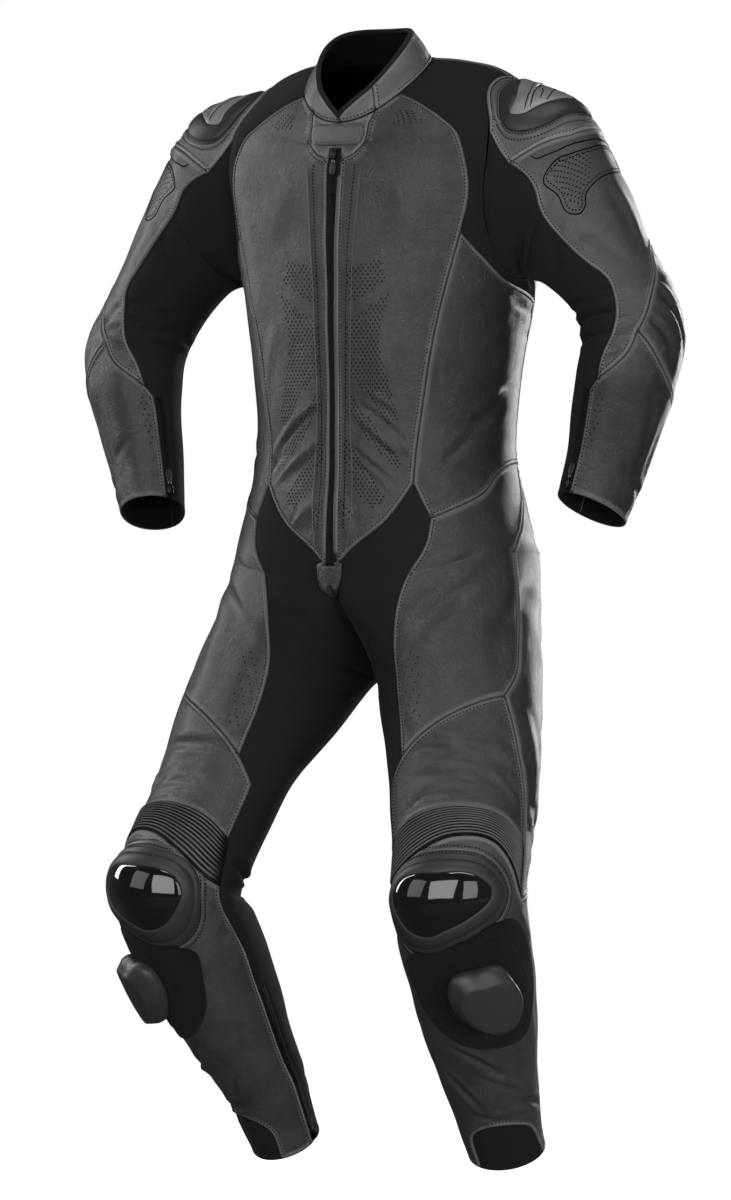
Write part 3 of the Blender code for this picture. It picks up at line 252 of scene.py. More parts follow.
# %% Corners and seams of the left half
CORNERS = dict(
    neck_front=("neck", -90), neck_side=("neck", -57), neck_seam=("neck", -33), neck_rear=("neck", 35),
    neck_back=("neck", 90),
    rim_front=("collar", -90, 29), rim_side=("collar", -49, 0), rim_back=("collar", 90, 0),
    zip_head=("torso", -90, 128), zip_head_side=("torso", -88.9, 128), inset_foot=("torso", -88.9, 155),
    zip_foot=("torso", -90, 684), zip_foot_side=("torso", -88.9, 684),
    stretch_foot=("torso", -40, 280), under_arm=("torso", 20, 358), hip_point=("torso", -56, 585),
    side_point=("torso", -50, 627), waist_top=("torso", 25, 530),
    waist_side=("torso", 25, 557.5),
    waist_foot=("torso", 25, 640),
    spine_top=("torso", 90, 530), spine_foot=("torso", 90, 640),
    shoulder_rear=("armhole", 25), cap_front=("armhole", -58), cap_rear=("armhole", 58),
    arm_pit=("armhole", 160),
    cap_tip=("sleeve", -76, 28), cap_tail=("sleeve", 76, 28), outer_tip=("sleeve", -115, 388),
    elbow_front=("sleeve", -70, 320), elbow_back=("sleeve", 110, 210), elbow_foot=("sleeve", 115, 374),
    cuff_back=("sleeve", 120, 540),
    cuff_zip_head=("sleeve", -124, 402), cuff_zip_head_in=("sleeve", -138, 402),
    cuff_zip_foot=("sleeve", -124, 540), cuff_zip_foot_in=("sleeve", -138, 540),
    fork_front=("hip", -125), fork_back=("hip", 125), thigh_inner=("hip", -88), thigh_outer=("hip", -10),
    thigh_foot=("leg", -136, 240), thigh_corner=("leg", -46, 176), knee_inner=("leg", -158, 264),
    rib_inner=("leg", -164, 333), rib_outer=("leg", -18, 351), rib_inner_foot=("leg", -178, 392),
    rib_outer_foot=("leg", -16, 415), calf_outer=("leg", 60, 398), calf_inner=("leg", 115, 394),
    calf_zip_head=("leg", 171, 548), calf_zip_head_in=("leg", 160, 548),
    calf_zip_foot=("leg", 168, 774), calf_zip_foot_in=("leg", 155, 774),
    hem_inner=("leg", -128, 774), hem_outer=("leg", -12, 774), hem_back=("leg", 62, 774),
)
# Seams: first corner, the points between (degrees, millimetres), last corner. Left side only.
SEAMS = dict(
    collar_front_base=("neck_front", [], "neck_side"),
    neckline_front=("neck_side", [], "neck_seam"),
    neckline_shoulder=("neck_seam", [], "neck_rear"),
    neckline_back=("neck_rear", [], "neck_back"),
    collar_middle=("rim_front", [], "neck_front"),
    collar_seam=("rim_side", [], "neck_side"),
    collar_spine=("rim_back", [], "neck_back"),
    rim_front=("rim_front", [(-87, 19), (-80, 9), (-70, 2)], "rim_side"),
    rim_back=("rim_side", [(0, 0), (50, 0)], "rim_back"),
    inset_middle=("neck_front", [], "zip_head"),
    inset=("neck_side", [(-67, 20), (-75, 55), (-79.7, 90), (-83.6, 131), (-86.8, 150)], "inset_foot"),
    zip_head=("zip_head", [], "zip_head_side"),
    zip_side_high=("zip_head_side", [], "inset_foot"),
    zip_side=("inset_foot", [], "zip_foot_side"),
    zip_foot=("zip_foot", [], "zip_foot_side"),
    zip_middle=("zip_head", [], "zip_foot"),
    front_high=("neck_seam", [(-39, 58), (-42, 128), (-41, 176), (-38, 224)], "stretch_foot"),
    front_low=("stretch_foot", [(-47, 400), (-51, 500)], "hip_point"),
    vee=("hip_point", [(-70, 630), (-84, 664)], "zip_foot_side"),
    hip_short=("hip_point", [], "side_point"),
    front_fork=("zip_foot", [], "fork_front"),
    stretch_low=("stretch_foot", [(-28, 308), (-10, 338)], "under_arm"),
    pit=("arm_pit", [], "under_arm"),
    shoulder=("neck_rear", [(27, 45)], "shoulder_rear"),
    side_rear=("under_arm", [(24, 400), (26, 480)], "waist_top"),
    side_low=("waist_side", [(7, 560), (-20, 598)], "side_point"),
    waist_high=("waist_top", [], "waist_side"),
    waist_low=("waist_side", [], "waist_foot"),
    waist_head=("waist_top", [(60, 524)], "spine_top"),
    waist_base=("waist_foot", [(60, 642)], "spine_foot"),
    spine=("neck_back", [], "spine_top"),
    waist_middle=("spine_top", [], "spine_foot"),
    seat=("spine_foot", [], "fork_back"),
    hole_cap=("cap_front", [], "shoulder_rear"),
    hole_rear=("shoulder_rear", [], "cap_rear"),
    hole_back=("cap_rear", [], "arm_pit"),
    hole_under=("cap_front", [], "arm_pit"),
    cap_side=("cap_front", [(-67, 12)], "cap_tip"),
    cap_side_rear=("cap_rear", [(67, 12)], "cap_tail"),
    cap_low=("cap_tip", [(-62, 48), (-34, 74), (22, 80), (58, 56)], "cap_tail"),
    outer_front=("cap_tip", [(-85, 90), (-81, 176), (-76, 219), (-73, 246), (-81, 275), (-97, 318),
                             (-108, 345)], "outer_tip"),
    outer_rear=("arm_pit", [(135, 80), (118, 150)], "elbow_back"),
    outer_low=("outer_tip", [(-96, 369), (-82, 351)], "elbow_front"),
    elbow_high=("elbow_front", [(-40, 280), (-17, 255), (0, 233), (30, 212), (70, 206)], "elbow_back"),
    elbow_rear=("elbow_back", [(112, 300)], "elbow_foot"),
    elbow_low=("elbow_front", [(-40, 352), (0, 378), (60, 386)], "elbow_foot"),
    forearm_rear=("elbow_foot", [(118, 460)], "cuff_back"),
    forearm_front=("outer_tip", [], "cuff_zip_head"),
    cuff_zip_top=("cuff_zip_head", [], "cuff_zip_head_in"),
    cuff_zip_side=("cuff_zip_head", [], "cuff_zip_foot"),
    cuff_zip_side_in=("cuff_zip_head_in", [], "cuff_zip_foot_in"),
    cuff_zip_end=("cuff_zip_foot", [], "cuff_zip_foot_in"),
    cuff_outer=("cuff_zip_foot", [(0, 540)], "cuff_back"),
    cuff_inner=("cuff_back", [(180, 540)], "cuff_zip_foot_in"),
    hip_stretch=("fork_front", [], "thigh_inner"),
    hip_front=("thigh_inner", [], "thigh_outer"),
    hip_back=("thigh_outer", [], "fork_back"),
    fork=("fork_back", [], "fork_front"),
    thigh_inner_top=("side_point", [(-54, 655)], "thigh_inner"),
    thigh_inner=("thigh_inner", [(-97, 33), (-107, 70), (-122, 125), (-131, 180)], "thigh_foot"),
    thigh_outer_top=("waist_side", [(14, 605), (2, 640)], "thigh_outer"),
    thigh_outer=("thigh_outer", [(-13, 57), (-22, 100), (-33, 146)], "thigh_corner"),
    thigh_low=("thigh_corner", [(-66, 188), (-97, 208), (-120, 226)], "thigh_foot"),
    knee_inner_top=("thigh_foot", [], "knee_inner"),
    knee_inner=("knee_inner", [], "rib_inner"),
    knee_outer=("thigh_corner", [(-40, 225), (-31, 280)], "rib_outer"),
    rib_top=("rib_inner", [(-130, 318), (-96, 315), (-50, 324)], "rib_outer"),
    rib_side=("rib_inner", [(-172, 362)], "rib_inner_foot"),
    rib_side_outer=("rib_outer", [(-14, 380)], "rib_outer_foot"),
    rib_low=("rib_inner_foot", [(-163, 386), (-128, 366), (-92, 352), (-60, 354), (-34, 376)],
             "rib_outer_foot"),
    shin_top=("rib_outer_foot", [(20, 404)], "calf_outer"),
    calf_top=("calf_outer", [], "calf_inner"),
    calf_top_in=("calf_inner", [(150, 392)], "rib_inner_foot"),
    leg_rear=("fork_back", [(121, 100), (117, 250)], "calf_inner"),
    shin_inner=("rib_inner_foot", [(171, 474)], "calf_zip_head"),
    shin_rear=("calf_outer", [(66, 560)], "hem_back"),
    calf_zip_top=("calf_zip_head", [], "calf_zip_head_in"),
    calf_zip_side=("calf_zip_head", [(172, 650)], "calf_zip_foot"),
    calf_zip_side_in=("calf_zip_head_in", [(161, 650)], "calf_zip_foot_in"),
    calf_zip_end=("calf_zip_foot", [], "calf_zip_foot_in"),
    hem_calf=("hem_back", [], "calf_zip_foot_in"),
    hem_front=("hem_inner", [(-70, 774)], "hem_outer"),
    hem_outer=("hem_outer", [], "hem_back"),
    hem_inner=("calf_zip_foot", [], "hem_inner"),
    gusset=("hem_inner", [(-124, 728), (-90, 709), (-60, 712), (-38, 724), (-22, 752)], "hem_outer"),
)


# %% Lines of seams
STEP = 5.0  # mm between the points of a seam
SHARED = dict(neck="torso", armhole="sleeve", hip="leg")  # edges of two tubes, and the tube that draws them


def on_tube(tube, corner):
    """A corner's place (degrees, mm) on one of the tubes that it belongs to."""
    kind, *place = CORNERS[corner]
    if kind == "neck":
        return (place[0], COLLAR if tube == "collar" else 0.0)
    if kind == "armhole":
        return (place[0], 0.0) if tube == "sleeve" else tuple(float(v) for v in armhole(place[0]))
    if kind == "hip":
        angle = place[0] * 90 / LEG_SHARE
        return (place[0], 0.0) if tube == "leg" else (angle, float(leg_line(np.array(float(angle)))))
    return tuple(place)


def smooth_line(knots, share):
    """Places along a smooth line through its knots; share runs from 0 to 1."""
    if len(knots) == 2:
        return knots[0] + (knots[1] - knots[0]) * share[:, None]
    length = np.hypot(np.diff(knots[:, 0]), np.diff(knots[:, 1]))
    at = np.concatenate([[0], np.cumsum(length)])
    return np.stack([between(dict(at=at, v=knots[:, c]), "v", share * at[-1]) for c in (0, 1)], -1)


def run_of(points):
    """Length along a row of points, from 0 at the first."""
    return np.concatenate([[0], np.cumsum(np.linalg.norm(np.diff(points, axis=0), axis=1))])


def read_off(line, run, at):
    """A row of points, ways or places read off at distances along its run."""
    return np.stack([np.interp(at, run, line[:, c]) for c in range(line.shape[1])], -1)


def seam_places(tube, name):
    """A seam as evenly spaced places (degrees, mm) on a tube, from its first corner to its last."""
    first, inner, last = SEAMS[name]
    kinds = [CORNERS[first][0], CORNERS[last][0]]
    own = [k for k in kinds if k not in SHARED]
    home = own[0] if own else SHARED[kinds[0]] if kinds[0] == kinds[1] else "torso"
    knots = np.array([on_tube(home, first), *inner, on_tube(home, last)], float)
    knots[:, 0] = np.degrees(np.unwrap(np.radians(knots[:, 0])))
    share = np.linspace(0, 1, 120)
    fine = smooth_line(knots, share)
    along = run_of(TUBES[home](fine[:, 0], fine[:, 1]))
    steps = max(2, round(along[-1] / STEP))
    places = smooth_line(knots, np.interp(np.linspace(0, along[-1], steps + 1), along, share))
    if home == tube:
        return places
    if home == "sleeve":
        return np.stack(armhole(places[:, 0]), -1)
    if home == "leg":
        angle = places[:, 0] * 90 / LEG_SHARE
        return np.stack([angle, leg_line(angle)], -1)
    return np.stack([places[:, 0], 0 * places[:, 1] + COLLAR], -1)


def line_of(tube, names, count=0):
    """Seams joined end to end; a minus sign takes one from its end. With count, that many even steps."""
    parts = []
    for name in names.split():
        places = seam_places(tube, name.strip("-"))
        places = places[::-1] if name[0] == "-" else places
        if parts:
            places = places + [360 * round((parts[-1][-1, 0] - places[0, 0]) / 360), 0]
        parts.append(places if not parts else places[1:])
    line = np.concatenate(parts)
    if count:
        along = run_of(skin(tube, 1, line[:, 0], line[:, 1]))
        line = read_off(line, along, np.linspace(0, along[-1], count + 1))
    return line


print("seams:", len(SEAMS), "points on the left half:", sum(
    len(line_of(SHARED.get(CORNERS[seam[0]][0], CORNERS[seam[0]][0]), name)) for name, seam in SEAMS.items()))

# %% [markdown]
# ## Panels of cloth and leather
# Each panel is a thin shell. A plain grid would cut across the seams and leave them jagged, and sculpting
# can't be repeated. So every panel is filled with triangles that follow its own seams: rows of points run
# parallel to the edge, where the leather is rolled and sewn, and an even honeycomb fills the rest.
# A height over the skin then gives the rolled edge, and the creases come from a table of soft folds.

# %% Fill an outline with triangles
ROWS_IN = (1.0, 2.6, 4.2, 5.6, 7.6)  # mm from the seam
MESH = 4.8                           # mm between the points of the honeycomb
ROW_SHARE = 0.87                     # its rows are closer than its points, by sin 60 degrees
CHUNK = 400                          # points measured at a time, to save memory


def scale_of(tube):
    """Degrees and millimetres made millimetres both ways."""
    return np.array([ROUND[tube] * np.pi / 180, 1.0])


def inside(points, outline):
    """Points inside a closed outline: a ray from each crosses it an odd number of times."""
    x, y = points[:, 0][:, None], points[:, 1][:, None]
    a, b = outline, np.roll(outline, -1, axis=0)
    crosses = (a[:, 1] > y) != (b[:, 1] > y)
    with np.errstate(divide="ignore", invalid="ignore"):
        at = a[:, 0] + (y - a[:, 1]) * (b[:, 0] - a[:, 0]) / (b[:, 1] - a[:, 1])
    return (crosses & (x < at)).sum(axis=1) % 2 == 1


def to_edges(points, a, b):
    """Distance from points to the nearest of many segments a-b, in two or three dimensions."""
    way, near = b - a, []
    size = np.maximum((way**2).sum(-1), 1e-12)
    for i in range(0, len(points), CHUNK):
        p = points[i:i + CHUNK, None]
        share = np.clip(((p - a) * way).sum(-1) / size, 0, 1)[..., None]
        near.append(np.linalg.norm(a + way * share - p, axis=-1).min(axis=1))
    return np.concatenate(near)


def honeycomb(flat, pitch):
    """The points of a honeycomb that are inside a closed outline."""
    low, high = flat.min(axis=0), flat.max(axis=0)
    n = ((high - low) / [pitch, pitch * ROW_SHARE]).astype(int) + 2
    j, i = np.mgrid[0:n[1], 0:n[0]]
    grid = np.stack([low[0] + (i + (j % 2) / 2) * pitch, low[1] + j * pitch * ROW_SHARE], -1).reshape(-1, 2)
    return grid[inside(grid, flat)]


def fill(tube, outline):
    """An outline's points, rows parallel to it, and a honeycomb, joined by Delaunay triangles."""
    scale = scale_of(tube)
    flat = outline * scale
    ends = np.roll(flat, -1, axis=0)
    area = (flat[:, 0] * ends[:, 1] - flat[:, 1] * ends[:, 0]).sum()
    along = unit(ends - np.roll(flat, 1, axis=0))
    inward = np.stack([-along[:, 1], along[:, 0]], -1) * np.sign(area)
    step = inward / scale
    here = skin(tube, 1, outline[:, 0], outline[:, 1])
    stretch = np.linalg.norm(skin(tube, 1, *(outline + step).T) - here, axis=1)
    stretch = np.clip(stretch, 0.25, 2.0)
    rows = []
    for offset in ROWS_IN:
        row = flat + inward * (offset / stretch)[:, None]
        far = to_edges(row, flat, ends) > 0.8 * offset / stretch
        rows.append(row[far & inside(row, flat)])
    grid = honeycomb(flat, MESH)
    wide = (ROWS_IN[-1] + MESH * 0.6) / np.median(stretch)
    grid = grid[to_edges(grid, flat, ends) > wide]
    given = np.concatenate([flat, *rows, grid])
    given[len(flat):] = given[len(flat):].round(3)
    edges = [(k, (k + 1) % len(flat)) for k in range(len(flat))]
    result = delaunay_2d_cdt([Vector(p) for p in given], edges, [], 1, 1e-4)
    places = given[[origins[0] for origins in result[3]]]
    faces = np.array([list(f) for f in result[2]])
    faces = faces[inside(places[faces].mean(axis=1), flat)]
    return places / scale, faces


trial = fill("sleeve", line_of("sleeve", "elbow_high elbow_rear -elbow_low")[:-1])
print("elbow panel:", len(trial[0]), "points", len(trial[1]), "triangles")

# %% Join the patches of a panel
def edges_of(faces):
    """The three edges of each triangle."""
    return np.concatenate([faces[:, [0, 1]], faces[:, [1, 2]], faces[:, [2, 0]]])


def rim_edges(faces, count):
    """The edges that only one triangle has."""
    edges = edges_of(faces)
    names = np.sort(edges, axis=1) @ np.array([count, 1])
    _, first, times = np.unique(names, return_index=True, return_counts=True)
    return edges[first[times == 1]]


def gathered(parts):
    """Forms, each (points, faces), as one: the points of all, and the faces that count on through them."""
    starts = np.cumsum([0] + [len(points) for points, _ in parts[:-1]])
    return (np.concatenate([points for points, _ in parts]),
            np.concatenate([faces + start for (_, faces), start in zip(parts, starts)]))


def joined(patches):
    """Patches (tube, side, places, faces) as one mesh: points that meet are made one."""
    parts, map_mm, tubes = [], [], []
    for tube, side, places, corners in patches:
        spots = skin(tube, side, *places.T)
        spots[np.abs(spots[:, 0]) < 0.01, 0] = 0
        corners = corners if side < 0 else corners[:, ::-1]
        parts.append((spots, corners))
        map_mm.append((places * scale_of(tube))[corners])
        tubes.append(np.column_stack([np.full(len(places), list(TUBES).index(tube)),
                                      np.full(len(places), side), places]))
    points, faces = gathered(parts)
    _, first, number = np.unique(np.round(points * 100).astype(int), axis=0, return_index=True,
                                 return_inverse=True)
    faces = number.ravel()[faces]
    whole = (faces[:, 0] != faces[:, 1]) & (faces[:, 1] != faces[:, 2]) & (faces[:, 2] != faces[:, 0])
    return points[first], faces[whole], np.concatenate(map_mm)[whole], np.concatenate(tubes)[first]


def ways_of(points, faces):
    """Each point's outward way: the sum of its triangles' area vectors, made one long."""
    a, b, c = (points[faces[:, i]] for i in range(3))
    ways = np.zeros_like(points)
    np.add.at(ways, faces, np.cross(b - a, c - a)[:, None, :])
    return unit(ways + 1e-12)


# %% [markdown]
# ## Rolled edges and folds
# Real panels are turned under and topstitched, so each edge dives into the seam, swells beside it and
# dips again under the stitches. Beyond that, a garment that is worn has creases where it bends. Cloth
# simulation would give other creases each time and none of the right ones, so they are listed one by one:
# a fold is a trough or ridge with a place, length, direction, width and depth of its own.

# %% Height of an edge and of the folds
EDGE = dict(   # mm from the seam, mm over the skin
    leather=([0, 1.0, 2.6, 4.2, 5.6, 7.6, 11], [-1.0, 0.6, 1.25, 0.95, 0.05, 0.25, 0]),
    cloth=([0, 1.0, 2.6, 4.2, 5.6, 7.6, 11], [-1.0, -1.1, -1.0, -0.8, -0.5, -0.2, 0]),
    open=([0, 1.0, 2.6, 4.2, 5.6, 7.6, 11], [0.1, 0.5, 0.6, 0.5, 0.1, 0.15, 0]),
)
# tube: rows of (degrees, mm down, length, direction from "round the tube", width, depth, bow), and 1 or -1
# where the fold is only on the left or the right
CREASES = dict(
    torso=[
        (-20, 300, 70, 24, 6, -1.8, 9), (-12, 318, 90, 18, 6, -2.0, 12), (2, 345, 80, 14, 6, -2.2, 8),
        (-30, 326, 60, 35, 5, 1.2, 6), (10, 372, 95, 8, 7, -1.8, -10), (24, 400, 90, -6, 7, -1.5, 8),
        (40, 372, 110, 12, 9, -2.4, 14), (62, 350, 120, 20, 10, -2.2, 16), (-58, 560, 90, 40, 9, -2.0, 8),
        (-12, 500, 110, -22, 10, -2.4, 10), (4, 470, 90, -14, 9, -2.0, 8), (-30, 540, 90, -30, 9, -2.2, 8),
        (-52, 440, 120, 70, 12, 1.6, 12), (55, 470, 130, 5, 12, -3.0, -12), (70, 505, 110, 3, 10, -2.6, 10),
        (75, 440, 120, 8, 13, -2.4, 12), (60, 250, 120, 62, 16, -2.2, 18), (75, 200, 110, 75, 15, 1.8, 12),
        (-65, 250, 130, 80, 20, 1.2, 14), (-70, 420, 160, 84, 22, 1.3, 12), (-34, 160, 70, 70, 8, -1.8, 8),
        (-26, 215, 80, 58, 8, -2.0, 8), (-18, 250, 70, 46, 7, -1.8, 8), (-40, 680, 80, -32, 10, -1.8, 8),
        (45, 670, 120, -10, 12, -2.4, 12), (70, 690, 110, -16, 12, -2.6, 12), (15, 650, 90, 10, 10, -2.0, 8),
        (-69, 532, 140, 44, 5, 2.0, 4), (-68, 512, 120, 40, 4.5, -1.7, 4), (-73, 556, 110, 43, 4.5, 1.9, 4),
        (-75, 578, 90, 46, 4.5, -1.7, 3), (-66, 490, 90, 36, 4.5, 1.2, 4, 1),
        (-82, 628, 70, 66, 6, 3.0, 2, -1), (-86, 618, 90, 80, 5, 2.6, 2, 1), (-50, 436, 60, 20, 4, -1.2, 3, 1),
    ],
    sleeve=[
        (-30, 72, 120, 27, 8, 3.0, -4), (-60, 300, 80, 30, 7, -3.0, 8), (-90, 290, 80, 18, 7, -3.6, 10),
        (-120, 285, 90, 6, 8, -4.2, 10), (-150, 290, 80, -6, 8, -4.0, 8), (-178, 300, 80, -10, 8, -3.4, 8),
        (-100, 318, 90, -8, 7, -3.6, -8), (-136, 322, 90, -14, 8, -3.8, -8), (-80, 262, 80, 36, 8, -2.8, 10),
        (-130, 255, 80, 18, 8, -3.0, 10), (-172, 262, 70, 8, 8, -2.6, 8), (-110, 350, 70, -22, 7, -2.6, 8),
        (-30, 330, 90, 52, 8, -2.4, 8), (-8, 300, 100, 60, 9, -2.6, 10), (18, 320, 100, 66, 9, -2.2, 10),
        (40, 290, 90, 50, 9, -2.0, 8), (60, 330, 80, 40, 9, -2.2, 8), (-20, 270, 80, 30, 8, 1.6, 8),
        (30, 250, 80, 20, 9, -1.8, 8), (-50, 200, 110, 70, 11, -1.6, 10), (-10, 180, 110, 80, 13, -1.8, 12),
        (30, 170, 110, 74, 12, 1.5, 12), (60, 150, 90, 30, 10, -2.2, 10), (90, 140, 80, 18, 10, -2.4, 10),
        (150, 120, 90, 10, 10, -2.6, 8), (180, 90, 90, -8, 10, -2.8, 8), (-140, 100, 90, -20, 10, -2.8, 8),
        (-110, 130, 100, -36, 10, -2.6, 8), (-95, 180, 110, -60, 10, -2.2, 8),
        (-30, 430, 120, 80, 11, -1.6, 10), (10, 450, 120, 86, 12, 1.4, 8), (50, 440, 110, 76, 12, -1.8, 10),
        (80, 480, 90, 60, 10, -1.6, 8), (150, 440, 110, 84, 10, -1.6, 8), (0, 500, 80, 18, 9, -1.3, 8),
        (-60, 470, 70, 30, 8, -1.4, 6), (120, 250, 90, 70, 10, -2.0, 8),
    ],
    leg=[
        (-60, 40, 120, -36, 13, -2.6, 12), (-84, 70, 120, -48, 12, -2.2, 12),
        (-40, 100, 150, -66, 16, -2.2, 16), (-14, 60, 130, -50, 15, -2.4, 14), (20, 90, 150, 70, 16, -2.0, 14),
        (60, 70, 130, 20, 14, -3.0, 12), (95, 60, 120, 6, 13, -3.4, 12), (130, 70, 110, -10, 12, -3.4, 10),
        (-120, 50, 90, -20, 10, -2.8, 10), (-140, 80, 100, -34, 10, -2.8, 10), (-165, 60, 90, 10, 10, -3.0, 8),
        (170, 100, 100, 20, 11, -2.6, 8), (-100, 235, 90, 12, 8, -2.2, 8), (-76, 250, 110, 8, 8, -2.4, 10),
        (-110, 268, 90, -6, 8, -2.0, 8), (-60, 282, 100, 14, 8, -2.0, -8), (-92, 294, 110, 4, 7, -1.8, 8),
        (-40, 236, 90, 26, 9, -1.8, 8), (0, 230, 150, 72, 15, -2.0, 14), (30, 200, 140, 66, 15, 1.8, 12),
        (50, 260, 130, 50, 13, -2.2, 12), (14, 320, 120, 40, 11, -2.6, 10), (40, 350, 120, 24, 11, -3.2, 10),
        (70, 360, 120, 8, 10, -4.0, 10), (100, 372, 110, 0, 10, -4.6, 8), (135, 366, 110, -6, 10, -4.2, 8),
        (165, 350, 90, -16, 9, -3.2, 8), (88, 334, 120, 6, 10, -3.6, -8), (118, 400, 120, 4, 10, -3.6, 8),
        (80, 420, 110, -8, 10, -2.8, 8), (150, 410, 100, -14, 10, -2.8, 8), (180, 440, 100, 30, 9, -2.0, 8),
        (-10, 470, 110, 64, 11, -2.0, 10), (20, 520, 130, 76, 12, -1.8, 10), (48, 480, 120, 70, 12, 1.5, 10),
        (-82, 605, 140, 44, 6, -3.4, 14), (-62, 640, 110, 34, 6, 2.6, 8), (-112, 650, 110, 50, 7, -3.0, 8),
        (-30, 690, 110, 24, 7, -2.8, 8), (-80, 700, 110, 10, 6, -2.4, -8), (100, 620, 120, 60, 12, -1.8, 10),
        (120, 700, 110, 20, 11, -2.0, 10), (-50, 284, 70, 42, 5, 2.2, 3), (-128, 300, 70, -30, 5, -1.8, 3),
        (-78, 312, 90, 5, 5, -1.6, 6), (-150, 600, 110, 64, 10, -1.6, 8), (0, 600, 120, 84, 12, -1.6, 10),
        (-130, 200, 120, 66, 10, -1.8, 8),
    ],
    collar=[(60, 20, 60, 0, 6, -0.8, 4), (-20, 24, 40, 0, 6, -0.7, 4)],
)


DEEPER, NARROWER = 1.25, 0.7   # every fold against its row


def folds(tube, side, angle, down):
    """Sum over the folds of depth * section(v) * (1 - u^2)^2, u along a fold and v across it.

    The section is a trough exp(-(v/w)^2) with a low bank 0.4 exp(-((|v| - 1.8 w)/w)^2) on each side. On the
    right side every fold is moved and sized a little, so that the two sides aren't mirror images.
    """
    a, d, size, turn, width, depth, bow, where = np.array([(*row, 0)[:8] for row in CREASES[tube]], float).T
    wobble = np.arange(len(a)) * 2.4
    if side < 0:
        a, d = a + 5 * np.sin(wobble), d + 9 * np.cos(wobble * 1.7)
        size, depth = size * (0.9 + 0.22 * np.sin(wobble * 3.1)), depth * (0.95 + 0.25 * np.cos(wobble))
    x = ((angle[:, None] - a + 180) % 360 - 180) * ROUND[tube] * np.pi / 180
    y = down[:, None] - d
    cos, sin = np.cos(np.radians(turn)), np.sin(np.radians(turn))
    u = (x * cos + y * sin) / (size / 2)
    v = -x * sin + y * cos - bow * u**2
    ends = np.clip(1 - u**2, 0, None) ** 2
    width = width * NARROWER
    section = np.exp(-(v / width) ** 2) - 0.4 * np.exp(-((np.abs(v) - 1.8 * width) / width) ** 2)
    return (DEEPER * depth * section * ends * ((where == 0) | (where == side))).sum(axis=1)


def swells(points):
    """Soft unevenness of the filled form: a sum of six sine waves in space, 70 to 160 mm long."""
    ways = np.array([[1, 0.3, 0.5], [0.2, 1, 0.4], [0.4, -0.5, 1], [1, -0.7, 0.2], [-0.3, 0.6, 1],
                     [0.7, 1, -0.6]])
    waves = ways * (2 * np.pi / np.array([160, 130, 110, 95, 80, 70]))[:, None]
    return (np.sin(points @ waves.T + np.arange(6)) * [0.7, 0.6, 0.5, 0.4, 0.3, 0.25]).sum(axis=1) * 0.8


# %% Make a panel
PANELS = {}
WALL = 1.7                # mm, thickness of leather and cloth with their lining
FADE = 12                 # mm from an edge over which the folds fade in
FAR = 99.0                # mm, stands for "nowhere near an open edge"
EDGE_HIGHLIGHT = (5.2, 6.6)       # mm from an edge: painted highlight up to the first, none from the second
TIPPED = 0.25             # cosine under which a raised triangle counts as tipped over
CUFF_DOWN, HEM_DOWN = 539.9, 773.9   # mm down the sleeve and the leg beyond which is their rim


def height_over(stuff, at_edge, at_open, tubes, points):
    """The edge's roll plus folds, which fade in from the edge, plus swells."""
    near = np.minimum(at_edge, at_open)
    fade = np.clip(near / FADE, 0, 1)
    fade = fade * fade * (3 - 2 * fade)
    crease = np.zeros(len(points))
    for number, tube in enumerate(TUBES):
        for side in (1, -1):
            here = (tubes[:, 0] == number) & (tubes[:, 1] == side)
            if here.any():
                crease[here] = folds(tube, side, tubes[here, 2], tubes[here, 3])
    roll = np.interp(at_edge, *EDGE["cloth" if stuff == "cloth" else "leather"])
    at_rim = (at_open < EDGE["open"][0][-1]) & (at_edge >= at_open)
    roll = np.where(at_rim, np.interp(at_open, *EDGE["open"]), roll)
    return roll + fade * crease + swells(points)


def open_edge(tubes):
    """Points on the rim of the collar, a cuff or an ankle: the edges that aren't sewn to anything."""
    kind, angle, down = tubes[:, 0].astype(int), tubes[:, 2], tubes[:, 3]
    rim = np.interp(np.abs(angle), [49, 70, 80, 87, 90], [0, 2, 9, 19, 29])   # the collar's rounded corners
    at_rim = (down < 0.5) | ((angle < -48.9) & (down < rim + 0.8))
    return np.select([kind == 1, kind == 2, kind == 3], [down > CUFF_DOWN, down > HEM_DOWN, at_rim], False)


def mark_painted_light(made, share):
    """Store at each point its painted light: painted highlight up to 1, painted shade below 0."""
    made.data.attributes.new("painted_light", "FLOAT", "POINT").data.foreach_set("value", share.astype(np.float32))


def unfolded(points, faces, ways, rim):
    """Where a raised triangle has tipped over, its corners move to their neighbours' mean, up to 12 times."""
    edges = edges_of(faces)
    edges = np.concatenate([edges, edges[:, ::-1]])
    near, count = ways[faces].mean(axis=1), np.bincount(edges[:, 0], minlength=len(points))
    for _ in range(12):
        a, b, c = (points[faces[:, i]] for i in range(3))
        tipped = (unit(np.cross(b - a, c - a) + 1e-12) * near).sum(axis=1) < TIPPED
        if not tipped.any():
            break
        number = np.arange(len(points))
        move = np.isin(number, faces[tipped]) & ~np.isin(number, rim)
        total = np.zeros_like(points)
        np.add.at(total, edges[:, 0], points[edges[:, 1]])
        points = np.where(move[:, None], total / count[:, None], points)
    return points


def wall(made, thick, lining=1):
    """A wall of so many mm on the inner side, with the mesh's second material as its lining."""
    shell = made.modifiers.new("wall", "SOLIDIFY")
    shell.thickness, shell.offset, shell.material_offset = thick * MM, -1, lining


